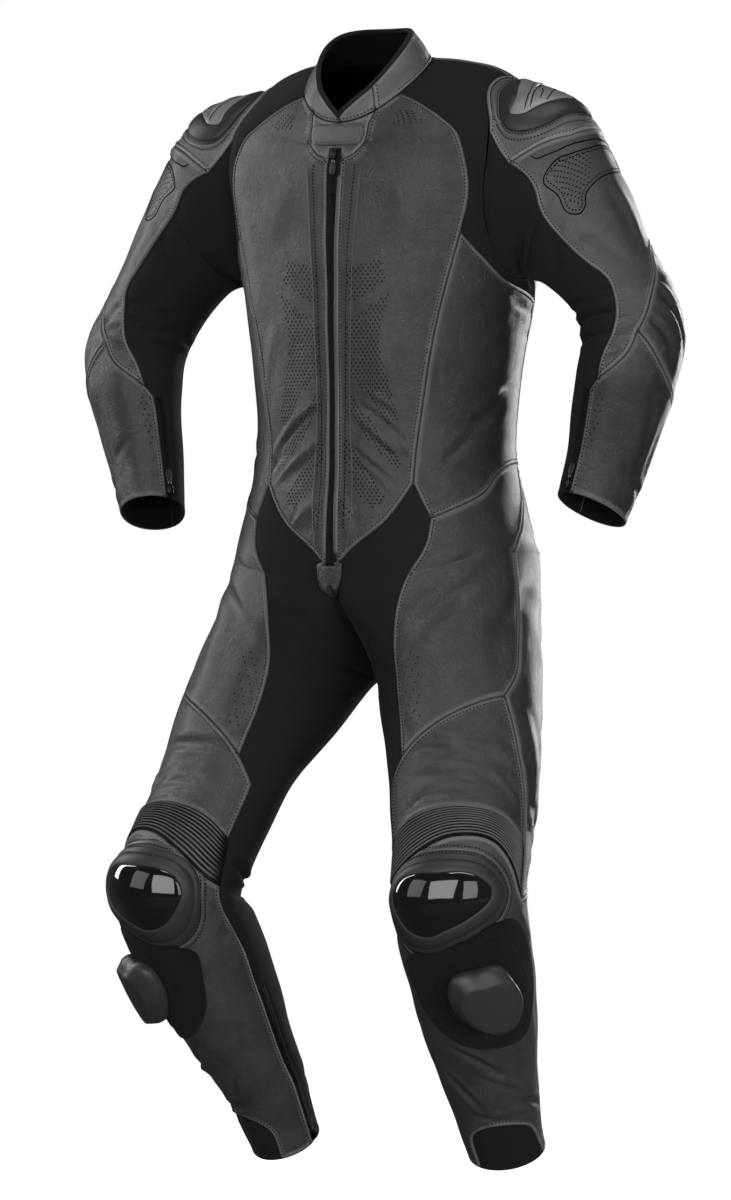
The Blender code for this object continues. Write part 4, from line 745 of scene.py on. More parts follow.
def panel(name, stuff, patches, materials):
    """A panel of the suit: its patches joined, raised by height_over, with a wall and a lining inside."""
    points, faces, map_mm, tubes = joined(patches)
    ways = ways_of(points, faces)
    middle = points[:, 0] == 0
    ways[middle, 0] = 0
    ways = unit(ways)
    rim = rim_edges(faces, len(points))
    is_open = open_edge(tubes)
    both = is_open[rim].all(axis=1)
    sewn, free = rim[~both], rim[both]
    at_edge = to_edges(points, points[sewn[:, 0]], points[sewn[:, 1]])
    at_open = (to_edges(points, points[free[:, 0]], points[free[:, 1]]) if len(free)
               else np.full(len(points), FAR))
    height = height_over(stuff, at_edge, at_open, tubes, points)
    area = np.linalg.norm(np.cross(points[faces[:, 1]] - points[faces[:, 0]],
                                   points[faces[:, 2]] - points[faces[:, 0]]), axis=1).sum() / 2
    points = unfolded(points + ways * height[:, None], faces, ways, rim)
    made = thing(name, points, faces, materials, map_mm)
    # Painted highlight: leather within 5.2 mm of a seam or rim is paler, as if its rolled edge caught the
    # light.
    mark_painted_light(made, np.interp(np.minimum(at_edge, at_open), EDGE_HIGHLIGHT, [1, 0]))
    wall(made, WALL)
    PANELS[name] = dict(points=points, faces=faces, area=area, size=cut_size(tubes, map_mm, area))
    return made


def cut_size(tubes, map_mm, area):
    """Width and length of the cut: the map's, times how much the skin stretches it each way on average."""
    size = np.ptp(map_mm.reshape(-1, 2), axis=0)
    tube, angle, down = list(TUBES)[int(np.median(tubes[:, 0]))], tubes[:, 2], tubes[:, 3]
    degree = 1 / scale_of(tube)[0]
    wide = skin(tube, 1, angle + degree, down) - skin(tube, 1, angle - degree, down)
    long = skin(tube, 1, angle, down + 1) - skin(tube, 1, angle, down - 1)
    size = size * [np.linalg.norm(wide, axis=1).mean() / 2, np.linalg.norm(long, axis=1).mean() / 2]
    share = area / np.prod(size)
    return size * np.sqrt(share / np.clip(share, 0.4, 0.95))


def thing(name, points, faces, materials, map_mm=None):
    """A mesh object from arrays: points in mm, triangles or quads, and its own UV map in metres of cloth."""
    mesh = bpy.data.meshes.new(name)
    faces = np.asarray(faces)
    sides = faces.shape[1]
    mesh.vertices.add(len(points))
    mesh.vertices.foreach_set("co", (np.asarray(points) * MM).astype(np.float32).ravel())
    mesh.loops.add(faces.size)
    mesh.loops.foreach_set("vertex_index", faces.ravel().astype(np.int32))
    mesh.polygons.add(len(faces))
    mesh.polygons.foreach_set("loop_start", np.arange(0, faces.size, sides, dtype=np.int32))
    mesh.update(calc_edges=True)
    if map_mm is not None:
        layer = mesh.uv_layers.new(name="cloth")
        layer.data.foreach_set("uv", (map_mm.reshape(-1, 2) * MM).astype(np.float32).ravel())
    mesh.shade_smooth()
    for material in materials:
        mesh.materials.append(material)
    made = bpy.data.objects.new(name, mesh)
    bpy.context.collection.objects.link(made)
    return made


def declared(made, slot, node_name=None, body="suit"):
    """A piece attached to what it rides on, with the CAD node that it stands in for hidden, if any. Its slot
    is not used.
    """
    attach(made, body)
    if node_name:
        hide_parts(node_name)
    return made


# %% [markdown]
# ## Floor, camera and light
# A garment shot needs big soft lights: leather shows its form only in wide highlights. The camera is a
# long lens nine metres away, level with the suit's middle, turned thirty degrees to the wearer's left.

# %% Camera, floor and lights
TURN, AWAY, LOW = np.radians(30), 9.0, 0.61   # turned by, metres away, metres under the shoulders
PER_PIXEL, FRAME_HEIGHT = 0.00122, 1200       # metres a pixel at the suit, and pixels in the frame's height
ASIDE, SENSOR = 25.5, 36.0                    # pixels that the aim is left of the middle, and mm of sensor
back = Vector((np.sin(TURN), -np.cos(TURN), 0))
right = Vector((np.cos(TURN), np.sin(TURN), 0))
aim = Vector((0, 0, -LOW)) - right * ASIDE * PER_PIXEL
camera = bpy.data.objects.new("camera", bpy.data.cameras.new("camera"))
camera.location = aim + back * AWAY
camera.rotation_euler = back.to_track_quat("Z", "Y").to_euler()
camera.data.sensor_fit, camera.data.sensor_height = "VERTICAL", SENSOR
camera.data.lens = SENSOR * AWAY / (FRAME_HEIGHT * PER_PIXEL)
bpy.context.collection.objects.link(camera)
bpy.context.scene.camera = camera


def lamp(name, place, size, watts, target=(0, 0, -0.6), mirrored=True, matt=True):
    """A soft box at (right of camera, towards camera, up) in metres, facing the target.

    A lamp that isn't mirrored shows in no highlight, and one that isn't matt only in highlights.
    """
    spot = right * place[0] + back * place[1] + Vector((0, 0, place[2]))
    light = bpy.data.lights.new(name, "AREA")
    light.shape, light.size, light.size_y, light.energy = "RECTANGLE", *size, watts
    made = bpy.data.objects.new(name, light)
    made.location = spot
    made.rotation_euler = (spot - Vector(target)).to_track_quat("Z", "Y").to_euler()
    made.visible_glossy, made.visible_diffuse = mirrored, matt
    bpy.context.collection.objects.link(made)


lamp("key", (-1.4, 3.1, 0.2), (2.3, 2.4), 63)
lamp("fill", (0.9, 3.5, 0.0), (1.3, 2.4), 24)
lamp("top", (0.2, 1.0, 2.5), (2.2, 1.0), 38, (0, 0, 0.5))
lamp("low", (1.7, 2.2, -1.0), (1.4, 0.7), 60, (0, 0, -1.1), mirrored=False)
lamp("rim_left", (-2.3, -1.3, 0.5), (0.5, 2.2), 34)
lamp("rim_right", (1.9, -3.1, 0.1), (0.4, 2.2), 50)
lamp("window", (-3.4, 1.3, 0.4), (1.9, 2.2), 17, (0, 0, -0.7), matt=False)

# The background is white to the eye, and gives almost no light on the suit.
world = bpy.data.worlds.new("studio")
world.use_nodes = True
tree = world.node_tree
seen, lit = tree.nodes["Background"], tree.nodes.new("ShaderNodeBackground")
seen.inputs["Color"].default_value = lit.inputs["Color"].default_value = (1, 1, 1, 1)
WHITE, DIM = 1.0, 0.06
seen.inputs["Strength"].default_value, lit.inputs["Strength"].default_value = WHITE, DIM
path, mix = tree.nodes.new("ShaderNodeLightPath"), tree.nodes.new("ShaderNodeMixShader")
tree.links.new(path.outputs["Is Camera Ray"], mix.inputs[0])
tree.links.new(lit.outputs[0], mix.inputs[1])
tree.links.new(seen.outputs[0], mix.inputs[2])
tree.links.new(mix.outputs[0], tree.nodes["World Output"].inputs["Surface"])
bpy.context.scene.world = world
bpy.context.scene.view_settings.view_transform = "Standard"

# The floor glows white to the eye too. Matt surfaces see it light grey, and highlights see it dark.
FLOOR_RADIUS, FLOOR_HEIGHT, FLOOR_CORNERS, FLOOR_GLOW = 2.6, -1.38, 96, 0.9
floor_stuff = bpy.data.materials.new("floor")
floor_stuff.use_nodes = True
tree = floor_stuff.node_tree
shader = tree.nodes["Principled BSDF"]
shader.inputs["Roughness"].default_value = 0.85
path, tint, pale = (tree.nodes.new("ShaderNode" + kind) for kind in ("LightPath", "MixRGB", "Math"))
pale.operation = "MAXIMUM"
tint.inputs[1].default_value, tint.inputs[2].default_value = (0.04, 0.04, 0.04, 1), (0.6, 0.6, 0.6, 1)
tree.links.new(path.outputs["Is Camera Ray"], pale.inputs[0])
tree.links.new(path.outputs["Is Diffuse Ray"], pale.inputs[1])
tree.links.new(pale.outputs[0], tint.inputs[0])
tree.links.new(tint.outputs[0], shader.inputs["Base Color"])
shader.inputs["Emission Color"].default_value = (1, 1, 1, 1)
glow = tree.nodes.new("ShaderNodeMath")
glow.operation = "MULTIPLY"
glow.inputs[1].default_value = FLOOR_GLOW
tree.links.new(path.outputs["Is Camera Ray"], glow.inputs[0])
tree.links.new(glow.outputs[0], shader.inputs["Emission Strength"])
turn = np.arange(FLOOR_CORNERS) * 2 * np.pi / FLOOR_CORNERS
mesh = bpy.data.meshes.new("floor")
mesh.from_pydata(np.stack([FLOOR_RADIUS * np.cos(turn), FLOOR_RADIUS * np.sin(turn),
                           0 * turn + FLOOR_HEIGHT], -1).tolist(), [], [tuple(range(FLOOR_CORNERS))])
mesh.materials.append(floor_stuff)
floor = bpy.data.objects.new("floor", mesh)
bpy.context.collection.objects.link(floor)
print("camera at", [round(v, 2) for v in camera.location])

# %% [markdown]
# ## Finishes
# Leather is a skin of small rounded cells, crossed by fine creases, with a half-gloss top coat. One flat
# grey would look like paint. The cells, the creases and the weave are each a node group, made once and
# placed in every material that needs it with its own size and depth, so the whole suit ages alike.

# %% Node groups
def group(name, inputs, outputs):
    """An empty node group with named sockets: (name, type, value) in, (name, type) out."""
    tree = bpy.data.node_groups.new(name, "ShaderNodeTree")
    for label, kind, value in inputs:
        socket = tree.interface.new_socket(name=label, in_out="INPUT", socket_type=kind)
        if value is not None:
            socket.default_value = value
    for label, kind in outputs:
        tree.interface.new_socket(name=label, in_out="OUTPUT", socket_type=kind)
    return tree, tree.nodes.new("NodeGroupInput"), tree.nodes.new("NodeGroupOutput")


def node(tree, kind, links=None, **settings):
    """A node with its settings, and its sockets linked or set by name or number."""
    made = tree.nodes.new("ShaderNode" + kind)
    for key, value in settings.items():
        setattr(made, key, value)
    for key, value in (links or {}).items():
        if isinstance(value, bpy.types.NodeSocket):
            tree.links.new(value, made.inputs[key])
        else:
            made.inputs[key].default_value = value
    return made


def remap(tree, value, low, high, to_low=0.0, to_high=1.0):
    """Map Range, clamped and smooth."""
    return node(tree, "MapRange", {"Value": value, "From Min": low, "From Max": high, "To Min": to_low,
                                   "To Max": to_high}, interpolation_type="SMOOTHSTEP").outputs["Result"]


def maths(tree, operation, *values):
    """A Math node."""
    return node(tree, "Math", dict(enumerate(values)), operation=operation).outputs[0]


# Grain: Voronoi cells rounded by their distance to the edge, jittered by noise, with larger soft creases.
GRAIN, sockets, out = group("leather grain", [("Vector", "NodeSocketVector", None),
                                              ("Cells per m", "NodeSocketFloat", 900.0),
                                              ("Creases", "NodeSocketFloat", 1.0)],
                            [("Height", "NodeSocketFloat"), ("Tone", "NodeSocketFloat")])
warp = node(GRAIN, "TexNoise", {"Vector": sockets.outputs["Vector"], "Scale": 55.0, "Detail": 2.0})
bent = node(GRAIN, "MixRGB", {"Fac": 0.006, "Color1": sockets.outputs["Vector"],
                              "Color2": warp.outputs["Color"]})
cells = node(GRAIN, "TexVoronoi", {"Vector": bent.outputs[0], "Scale": sockets.outputs["Cells per m"]},
             feature="DISTANCE_TO_EDGE")
rounded_cells = remap(GRAIN, cells.outputs["Distance"], 0.0, 0.35)
lines = node(GRAIN, "TexVoronoi", {"Vector": bent.outputs[0], "Scale": 105.0, "Randomness": 1.0},
             feature="DISTANCE_TO_EDGE")
creases = remap(GRAIN, lines.outputs["Distance"], 0.0, 0.10)
patchy = node(GRAIN, "TexNoise", {"Vector": sockets.outputs["Vector"], "Scale": 38.0, "Detail": 4.0,
                                  "Roughness": 0.62})
where = remap(GRAIN, patchy.outputs["Fac"], 0.42, 0.66)
creased = maths(GRAIN, "MULTIPLY", maths(GRAIN, "SUBTRACT", 1.0, creases), where)
soft = node(GRAIN, "TexNoise", {"Vector": bent.outputs[0], "Scale": 150.0, "Detail": 3.0})
height = maths(GRAIN, "ADD", maths(GRAIN, "MULTIPLY", rounded_cells, 0.35),
               maths(GRAIN, "MULTIPLY", soft.outputs["Fac"], 0.9))
height = maths(GRAIN, "SUBTRACT", height, maths(
    GRAIN, "MULTIPLY", maths(GRAIN, "MULTIPLY", creased, sockets.outputs["Creases"]), 0.9))
wrinkled = node(GRAIN, "TexNoise", {"Vector": sockets.outputs["Vector"], "Scale": 46.0, "Detail": 6.0,
                                    "Roughness": 0.6, "Distortion": 1.0})
height = maths(GRAIN, "ADD", height, maths(GRAIN, "MULTIPLY", wrinkled.outputs["Fac"], 2.6))
GRAIN.links.new(height, out.inputs["Height"])
GRAIN.links.new(patchy.outputs["Fac"], out.inputs["Tone"])

# Weave: two sets of threads in the cloth's own UV, over and under.
WEAVE, sockets, out = group("stretch weave", [("Vector", "NodeSocketVector", None),
                                              ("Threads per m", "NodeSocketFloat", 700.0)],
                            [("Height", "NodeSocketFloat")])
parts = node(WEAVE, "SeparateXYZ", {0: sockets.outputs["Vector"]})
turns = maths(WEAVE, "MULTIPLY", sockets.outputs["Threads per m"], 6.2832)   # one turn a thread, in radians
warp_thread = maths(WEAVE, "SINE", maths(WEAVE, "MULTIPLY", parts.outputs["X"], turns))
weft_thread = maths(WEAVE, "SINE", maths(WEAVE, "MULTIPLY", parts.outputs["Y"], turns))
crossing = maths(WEAVE, "MULTIPLY", warp_thread, weft_thread)
WEAVE.links.new(maths(WEAVE, "ADD", maths(WEAVE, "MULTIPLY", crossing, 0.5), 0.5), out.inputs["Height"])
print("groups:", [g.name for g in bpy.data.node_groups])


# %% Leather
def begin(name, **values):
    """A Principled material with its plain values set on the shader's own sockets."""
    made = bpy.data.materials.new(name)
    made.use_nodes = True
    tree = made.node_tree
    shader = tree.nodes["Principled BSDF"]
    for key, value in values.items():
        socket = shader.inputs[key.replace("_", " ")]
        socket.default_value = (*value, 1) if isinstance(value, tuple) else value
    return made, tree, shader, node(tree, "TexCoord")


def placed(tree, kind, *values):
    """A group node with its inputs in order."""
    made = tree.nodes.new("ShaderNodeGroup")
    made.node_tree = kind
    for i, value in enumerate(values):
        if isinstance(value, bpy.types.NodeSocket):
            tree.links.new(value, made.inputs[i])
        else:
            made.inputs[i].default_value = value
    return made


def rgba(tone):
    """A tone with its alpha; one number is a neutral grey."""
    return (*tone, 1) if isinstance(tone, tuple) else (tone, tone, tone, 1)


def two_tones(tree, shader, mask, dark, light):
    """Base Color mixed between two tones by a mask."""
    mix = node(tree, "MixRGB", {"Fac": mask, "Color1": rgba(dark), "Color2": rgba(light)})
    tree.links.new(mix.outputs[0], shader.inputs["Base Color"])


def bumped(tree, shader, height, distance):
    """A Bump node of so many metres into Normal."""
    bump = node(tree, "Bump", {"Height": height, "Distance": distance, "Strength": 1.0})
    tree.links.new(bump.outputs[0], shader.inputs["Normal"])


SMOOTH, WORN = 0.37, 0.43   # roughness of leather at its glossiest and at its dullest


def leather(name, dark, light, cells=900.0, depth=0.0006, creases=1.0, coat=0.14, shine=0.56):
    """Grain in the bump, patchy tone and gloss, painted highlight on rolled edges and rib crests, painted
    shade and dull in rib grooves.
    """
    made, tree, shader, place = begin(name, Coat_Weight=coat, Coat_Roughness=0.32, Specular_IOR_Level=shine)
    grain = placed(tree, GRAIN, place.outputs["Object"], cells, creases)
    # Tone is the grain's random patchiness plus painted light: painted highlight on rolled edges and rib
    # crests, painted shade in rib grooves.
    painted_light = node(tree, "Attribute", attribute_name="painted_light").outputs["Fac"]
    tone = maths(tree, "ADD", remap(tree, grain.outputs["Tone"], 0.25, 0.8, 0.12, 0.3), maths(
        tree, "MULTIPLY", painted_light, 0.75))
    two_tones(tree, shader, tone, dark, light)
    gloss = remap(tree, grain.outputs["Tone"], 0.3, 0.72, WORN, SMOOTH)
    groove = remap(tree, painted_light, -0.25, 0.0, 0.5, 0.0)
    tree.links.new(maths(tree, "ADD", gloss, groove), shader.inputs["Roughness"])
    bumped(tree, shader, grain.outputs["Height"], depth)
    return made


LEATHER = leather("leather", (0.0050, 0.0050, 0.0051), (0.056, 0.0555, 0.055), creases=0.7, depth=0.0007)
LEATHER_SLEEVE = leather("sleeve_leather", 0.014, (0.076, 0.076, 0.075), creases=0.3)
LEATHER_PALE = leather("shoulder_leather", 0.05, (0.125, 0.125, 0.124), cells=1000.0, creases=0.3)
LEATHER_COLLAR = leather("collar_leather", (0.040, 0.040, 0.0405), 0.085, creases=0.5)
# Its span from near-black to grey carries the painted highlight on rib crests and the painted shade in rib
# grooves.
LEATHER_RIB = leather("ribbed_leather", 0.001, 0.112, creases=0.3, depth=0.0002, coat=0.0, shine=0.3)
LEATHER_CORD = leather("corded_leather", 0.03, 0.05, creases=0.2, depth=0.0001)


# %% Cloth, lining, loop patch
def cloth(name, dark, light, threads, depth, rough=0.88):
    """A woven cloth: threads from the UV map, with a faint heathered tone and sheen."""
    made, tree, shader, place = begin(name, Roughness=rough, Sheen_Weight=0.02, Sheen_Roughness=0.5,
                                      Specular_IOR_Level=0.16)
    weave = placed(tree, WEAVE, place.outputs["UV"], threads)
    tone = node(tree, "TexNoise", {"Vector": place.outputs["Object"], "Scale": 420.0, "Detail": 3.0})
    two_tones(tree, shader, tone.outputs["Fac"], dark, light)
    bumped(tree, shader, weave.outputs["Height"], depth)
    return made


STRETCH = cloth("stretch_fabric", (0.0042, 0.0040, 0.0048), (0.0095, 0.009, 0.0105), threads=620.0,
                depth=0.00018)
TAPE = cloth("zip_tape", 0.0015, 0.004, threads=900.0, depth=0.0001, rough=0.7)


def napped(name, dark, light, scale, depth):
    """A fuzzy pile: short noise in the bump and the tone, with sheen at the edges."""
    made, tree, shader, place = begin(name, Roughness=0.95, Sheen_Weight=0.03, Sheen_Roughness=0.6,
                                      Specular_IOR_Level=0.08)
    fine = node(tree, "TexNoise", {"Vector": place.outputs["Object"], "Scale": scale, "Detail": 5.0,
                                   "Roughness": 0.75})
    two_tones(tree, shader, remap(tree, fine.outputs["Fac"], 0.35, 0.7), dark, light)
    bumped(tree, shader, fine.outputs["Fac"], depth)
    return made


LINING = napped("lining", 0.0015, 0.004, scale=500.0, depth=0.0003)
LOOP = napped("loop_fabric", 0.001, 0.009, scale=900.0, depth=0.0012)
BINDING = napped("collar_binding", 0.006, 0.014, scale=1400.0, depth=0.0002)


# %% Moulded plastic, gloss insert, thread, metal
def moulded(name, dark, light, rough, grain=2600.0, depth=0.00003, coat=0.0, metal=0.0, shine=0.5):
    """Moulded plastic or cast metal: a fine spark-eroded texture, and flow marks between two roughnesses."""
    made, tree, shader, place = begin(name, Coat_Weight=coat, Coat_Roughness=0.04, Metallic=metal,
                                      Specular_IOR_Level=shine)
    flow = node(tree, "TexNoise", {"Vector": place.outputs["Object"], "Scale": 45.0, "Detail": 3.0})
    fine = node(tree, "TexNoise", {"Vector": place.outputs["Object"], "Scale": grain, "Detail": 1.0})
    two_tones(tree, shader, flow.outputs["Fac"], dark, light)
    tree.links.new(remap(tree, flow.outputs["Fac"], 0.3, 0.7, rough[0], rough[1]), shader.inputs["Roughness"])
    bumped(tree, shader, fine.outputs["Fac"], depth)
    return made


FRAME = moulded("moulded_frame", 0.014, 0.02, (0.42, 0.52), shine=0.35)
GLOSS = moulded("gloss_insert", (0.003, 0.003, 0.0032), (0.0045, 0.0045, 0.0047), (0.05, 0.08), depth=0.000002,
                coat=0.6)
PUCK = moulded("slider_plastic", 0.017, 0.024, (0.34, 0.44), depth=0.00006, shine=0.4)
SHELL = moulded("shoulder_shell", (0.13, 0.13, 0.132), (0.18, 0.18, 0.182), (0.3, 0.42))
THREAD = moulded("thread", 0.0006, 0.0012, (0.55, 0.7), grain=3500.0, depth=0.0001, shine=0.03)
# Near-black and matt: in holes and vents the dark lining and mesh seen through, with painted shade of their
# depth; on plate grooves painted shade alone.
HOLLOW_SHADE = moulded("hollow_shade", 0.0005, 0.001, (0.9, 0.95), shine=0.0)
METAL = moulded("zip_metal", (0.022, 0.022, 0.023), (0.040, 0.040, 0.042), (0.26, 0.4), metal=1.0)
STEEL = moulded("zip_steel", (0.26, 0.26, 0.27), (0.36, 0.36, 0.37), (0.22, 0.34), metal=1.0)
RUBBER = moulded("pull_rubber", 0.01, 0.017, (0.5, 0.6))
print("materials:", len(bpy.data.materials))

# %% [markdown]
# ## Cut the panels
# The pattern below names each panel, its finish and the seams round it on the left half. The right half
# uses the same pattern on the mirrored skin, and a panel that crosses the middle joins both halves.

# %% The pattern
PATTERN = dict(
    collar_front=("collar", False, [("collar", "rim_front collar_seam -collar_front_base -collar_middle")]),
    collar_back=("collar", True, [
        ("collar", "rim_back collar_spine -neckline_back -neckline_shoulder -neckline_front -collar_seam")]),
    neck_inset=("collar", True, [("torso", "collar_front_base inset -zip_side_high -zip_head -inset_middle")]),
    front=("leather", False, [("torso", "neckline_front front_high front_low vee -zip_side -inset")]),
    shoulder_stretch=("cloth", False, [
        ("torso", "neckline_shoulder shoulder -hole_cap hole_under pit -stretch_low -front_high")]),
    side=("leather", False, [("torso", "stretch_low side_rear waist_high side_low -hip_short -front_low")]),
    back_upper=("leather", True, [
        ("torso", "neckline_back spine -waist_head -side_rear -pit -hole_back -hole_rear -shoulder")]),
    shoulder_cap=("pale", False, [("sleeve", "hole_cap hole_rear cap_side_rear -cap_low -cap_side")]),
    sleeve_outer=("sleeve", False, [
        ("sleeve", "cap_low -cap_side_rear hole_back outer_rear -elbow_high -outer_low -outer_front")]),
    sleeve_stretch=("cloth", False, [
        ("sleeve", "cap_side outer_front forearm_front cuff_zip_top cuff_zip_side_in -cuff_inner "
                   "-forearm_rear -elbow_rear -outer_rear -hole_under")]),
    elbow_panel=("leather", False, [("sleeve", "elbow_high elbow_rear -elbow_low")]),
    forearm_panel=("leather", False, [
        ("sleeve", "elbow_low forearm_rear -cuff_outer -cuff_zip_side -forearm_front outer_low")]),
    thigh_front=("leather", False, [
        ("torso", "thigh_inner_top hip_front -thigh_outer_top side_low"),
        ("leg", "hip_front thigh_outer thigh_low -thigh_inner")]),
    thigh_outer=("leather", False, [
        ("torso", "thigh_outer_top hip_back -seat -waist_base -waist_low"),
        ("leg", "hip_back leg_rear -calf_top -shin_top -rib_side_outer -knee_outer -thigh_outer")]),
    thigh_stretch=("cloth", False, [
        ("torso", "vee -zip_foot front_fork hip_stretch -thigh_inner_top -hip_short"),
        ("leg", "hip_stretch thigh_inner knee_inner_top knee_inner rib_side -calf_top_in -leg_rear fork")]),
    knee_above=("leather", False, [("leg", "-thigh_low knee_outer -rib_top -knee_inner -knee_inner_top")]),
    shin_panel=("sleeve", False, [
        ("leg", "rib_low shin_top shin_rear -hem_outer -gusset -hem_inner -calf_zip_side -shin_inner")]),
    calf_stretch=("cloth", False, [
        ("leg", "calf_top calf_top_in shin_inner calf_zip_top calf_zip_side_in -hem_calf -shin_rear")]),
    hem_gusset=("cloth", False, [("leg", "gusset -hem_front")]),
)
STUFFS = dict(  # finish: material and slot
    leather=(LEATHER, "leather"), sleeve=(LEATHER_SLEEVE, "leather"), pale=(LEATHER_PALE, "leather"),
    collar=(LEATHER_COLLAR, "collar_leather"), cloth=(STRETCH, "stretch_fabric"))
ENDS = {1: "_left", -1: "_right"}

for name, (stuff, crosses, patches) in PATTERN.items():
    filled = [(tube, *fill(tube, line_of(tube, seams)[:-1])) for tube, seams in patches]
    material, slot = STUFFS[stuff]
    for sides in ([(1, -1)] if crosses else [(1,), (-1,)]):
        full = name if crosses else name + ENDS[sides[0]]
        made = panel(full + "_panel", stuff, [(tube, side, places, faces) for side in sides
                                              for tube, places, faces in filled], [material, LINING])
        declared(made, "leather" if name == "neck_inset" else slot, full)
print("panels:", len(PANELS), "points:", sum(len(p["points"]) for p in PANELS.values()),
      "square metres:", round(sum(p["area"] for p in PANELS.values()) * 1e-6, 2))

# %% [markdown]
# ## A surface to sew on
# Thread, holes and bindings lie on the panels' finished surface, folds included. Working out the folds
# again for each stitch is possible, but a search tree over the finished triangles gives the same answer
# and serves everything that is laid on the suit.

# %% Find the finished surface
def tree_from(points, faces):
    """A search tree over one mesh, in mm."""
    return BVHTree.FromPolygons(points.tolist(), faces.tolist())


SURFACE = tree_from(*gathered([(part["points"], part["faces"]) for part in PANELS.values()]))


def onto(points, tree=SURFACE):
    """The nearest places on the finished surface, or another, and the ways out of it there."""
    found = [tree.find_nearest(Vector(p)) for p in points]
    return np.array([f[0] for f in found]), np.array([f[1] for f in found])


def repeated(name, form, faces, spots, frames, material, slot):
    """Copies of one small form, one at each spot, turned by each frame's three ways, in one mesh."""
    form, faces = np.asarray(form, float), np.asarray(faces)
    points = spots[:, None] + np.einsum("pk,nkc->npc", form, frames)
    corners = faces[None] + (np.arange(len(spots)) * len(form))[:, None, None]
    return declared(thing(name, points.reshape(-1, 3), corners.reshape(-1, faces.shape[1]), [material]), slot)


def capsule(length, wide, high, sides=5):
    """A short rounded rod along Y: two rings of a regular polygon between two points."""
    turn = np.arange(sides) * 2 * np.pi / sides + 0.3
    ring_points = np.stack([np.cos(turn) * wide / 2, 0 * turn, np.sin(turn) * high / 2], -1)
    points = np.concatenate([[[0, -length / 2, -high * 0.15]], ring_points - [0, length * 0.3, 0],
                             ring_points + [0, length * 0.3, 0], [[0, length / 2, -high * 0.15]]])
    i, j = np.arange(sides), (np.arange(sides) + 1) % sides
    faces = np.concatenate([np.stack([0 * i, 1 + i, 1 + j], -1), np.stack([1 + i, 1 + sides + i, 1 + j], -1),
                            np.stack([1 + j, 1 + sides + i, 1 + sides + j], -1),
                            np.stack([0 * i + 1 + 2 * sides, 1 + sides + j, 1 + sides + i], -1)])
    return points, faces


# %% [markdown]
# ## Topstitching
# A lockstitch shows as short threads of the same length in a row. A dashed line in the material would
# have no thickness, so each stitch is a small rounded rod. They are placed along each seam at an even
# pitch, a few millimetres into the panel that is turned over, and all of a region's stitches are one mesh.

# %% Sew the seams
PITCH = 4.3                   # mm from one stitch to the next
INTO_PANEL = 4.7              # mm from the seam to its stitches
STITCH = (2.8, 1.6, 0.9)      # mm long, wide and high
THREAD_LIFT = 0.12            # mm that a thread's middle is over the surface
STITCHED = dict(  # tube: seams and the side that the thread lies on (1 left of the line's run, -1 right)
    torso=dict(inset=1, front_high=-1, front_low=-1, vee=-1, zip_side=1, stretch_low=-1, side_rear=-1,
               side_low=-1, shoulder=1, neckline_back=-1, thigh_inner_top=1, thigh_outer_top=-1, seat=1,
               waist_head=1, waist_base=-1, hip_short=1),
    sleeve=dict(hole_cap=-1, hole_rear=-1, hole_back=1, cap_side=1, cap_side_rear=-1, cap_low=1, outer_front=1,
                outer_rear=-1, outer_low=1, elbow_high=1, elbow_low=-1, elbow_rear=-1, forearm_rear=-1,
                forearm_front=1, cuff_zip_side=1),
    leg=dict(thigh_inner=1, thigh_outer=-1, thigh_low=1, knee_inner_top=1, knee_inner=1, knee_outer=-1,
             rib_top=-1, rib_low=1, rib_side_outer=1, leg_rear=-1, shin_top=-1, shin_rear=-1, shin_inner=1,
             gusset=1, calf_top=1, calf_zip_side=1),
)


def stitch_line(tube, side, places, offset=0.0):
    """Spots and frames of stitches along places on a tube, moved offset mm to the left of its run."""
    line = skin(tube, side, *places.T)
    along = unit(np.gradient(line, axis=0))
    line = line + np.cross(skin_ways(tube, side, *places.T)[2], along) * offset * side
    run = run_of(line)
    count = int(run[-1] / PITCH)
    if count < 2:
        return np.zeros((0, 3)), np.zeros((0, 3, 3))
    even = (np.arange(count) + 0.5) * run[-1] / count
    spots, outs = onto(read_off(line, run, even))
    ways = unit(read_off(along, run, even))
    ways = unit(ways - outs * (ways * outs).sum(-1, keepdims=True))
    return spots + outs * THREAD_LIFT, np.stack([np.cross(ways, outs), ways, outs], 1)


def sew(name, lines):
    """One mesh of all the stitches of a region."""
    spots, frames = (np.concatenate(part) for part in zip(*lines))
    repeated(name, *capsule(*STITCH), spots, frames, THREAD, "leather")
    print(name, len(spots), "stitches")


for tube, seams in STITCHED.items():
    for side in (1, -1):
        sew(tube + "_stitches" + ENDS[side],
            [stitch_line(tube, side, line_of(tube, name), way * INTO_PANEL) for name, way in seams.items()])
sew("collar_stitches", [stitch_line("collar", side, line_of("collar", name), offset) for side in (1, -1)
                        for name, offset in (("collar_seam", 5.6), ("collar_front_base", 4.0),
                                             ("neckline_back", 4.0), ("neckline_shoulder", 4.0))])

# %% [markdown]
# ## Ribbed panels
# Above the knees and in the small of the back the leather is gathered over cords into ribs that bend
# with the wearer. A bump map would keep a straight outline. The grid between the four seams gets a
# height that follows the ribs, so they stand out at the sides as well.

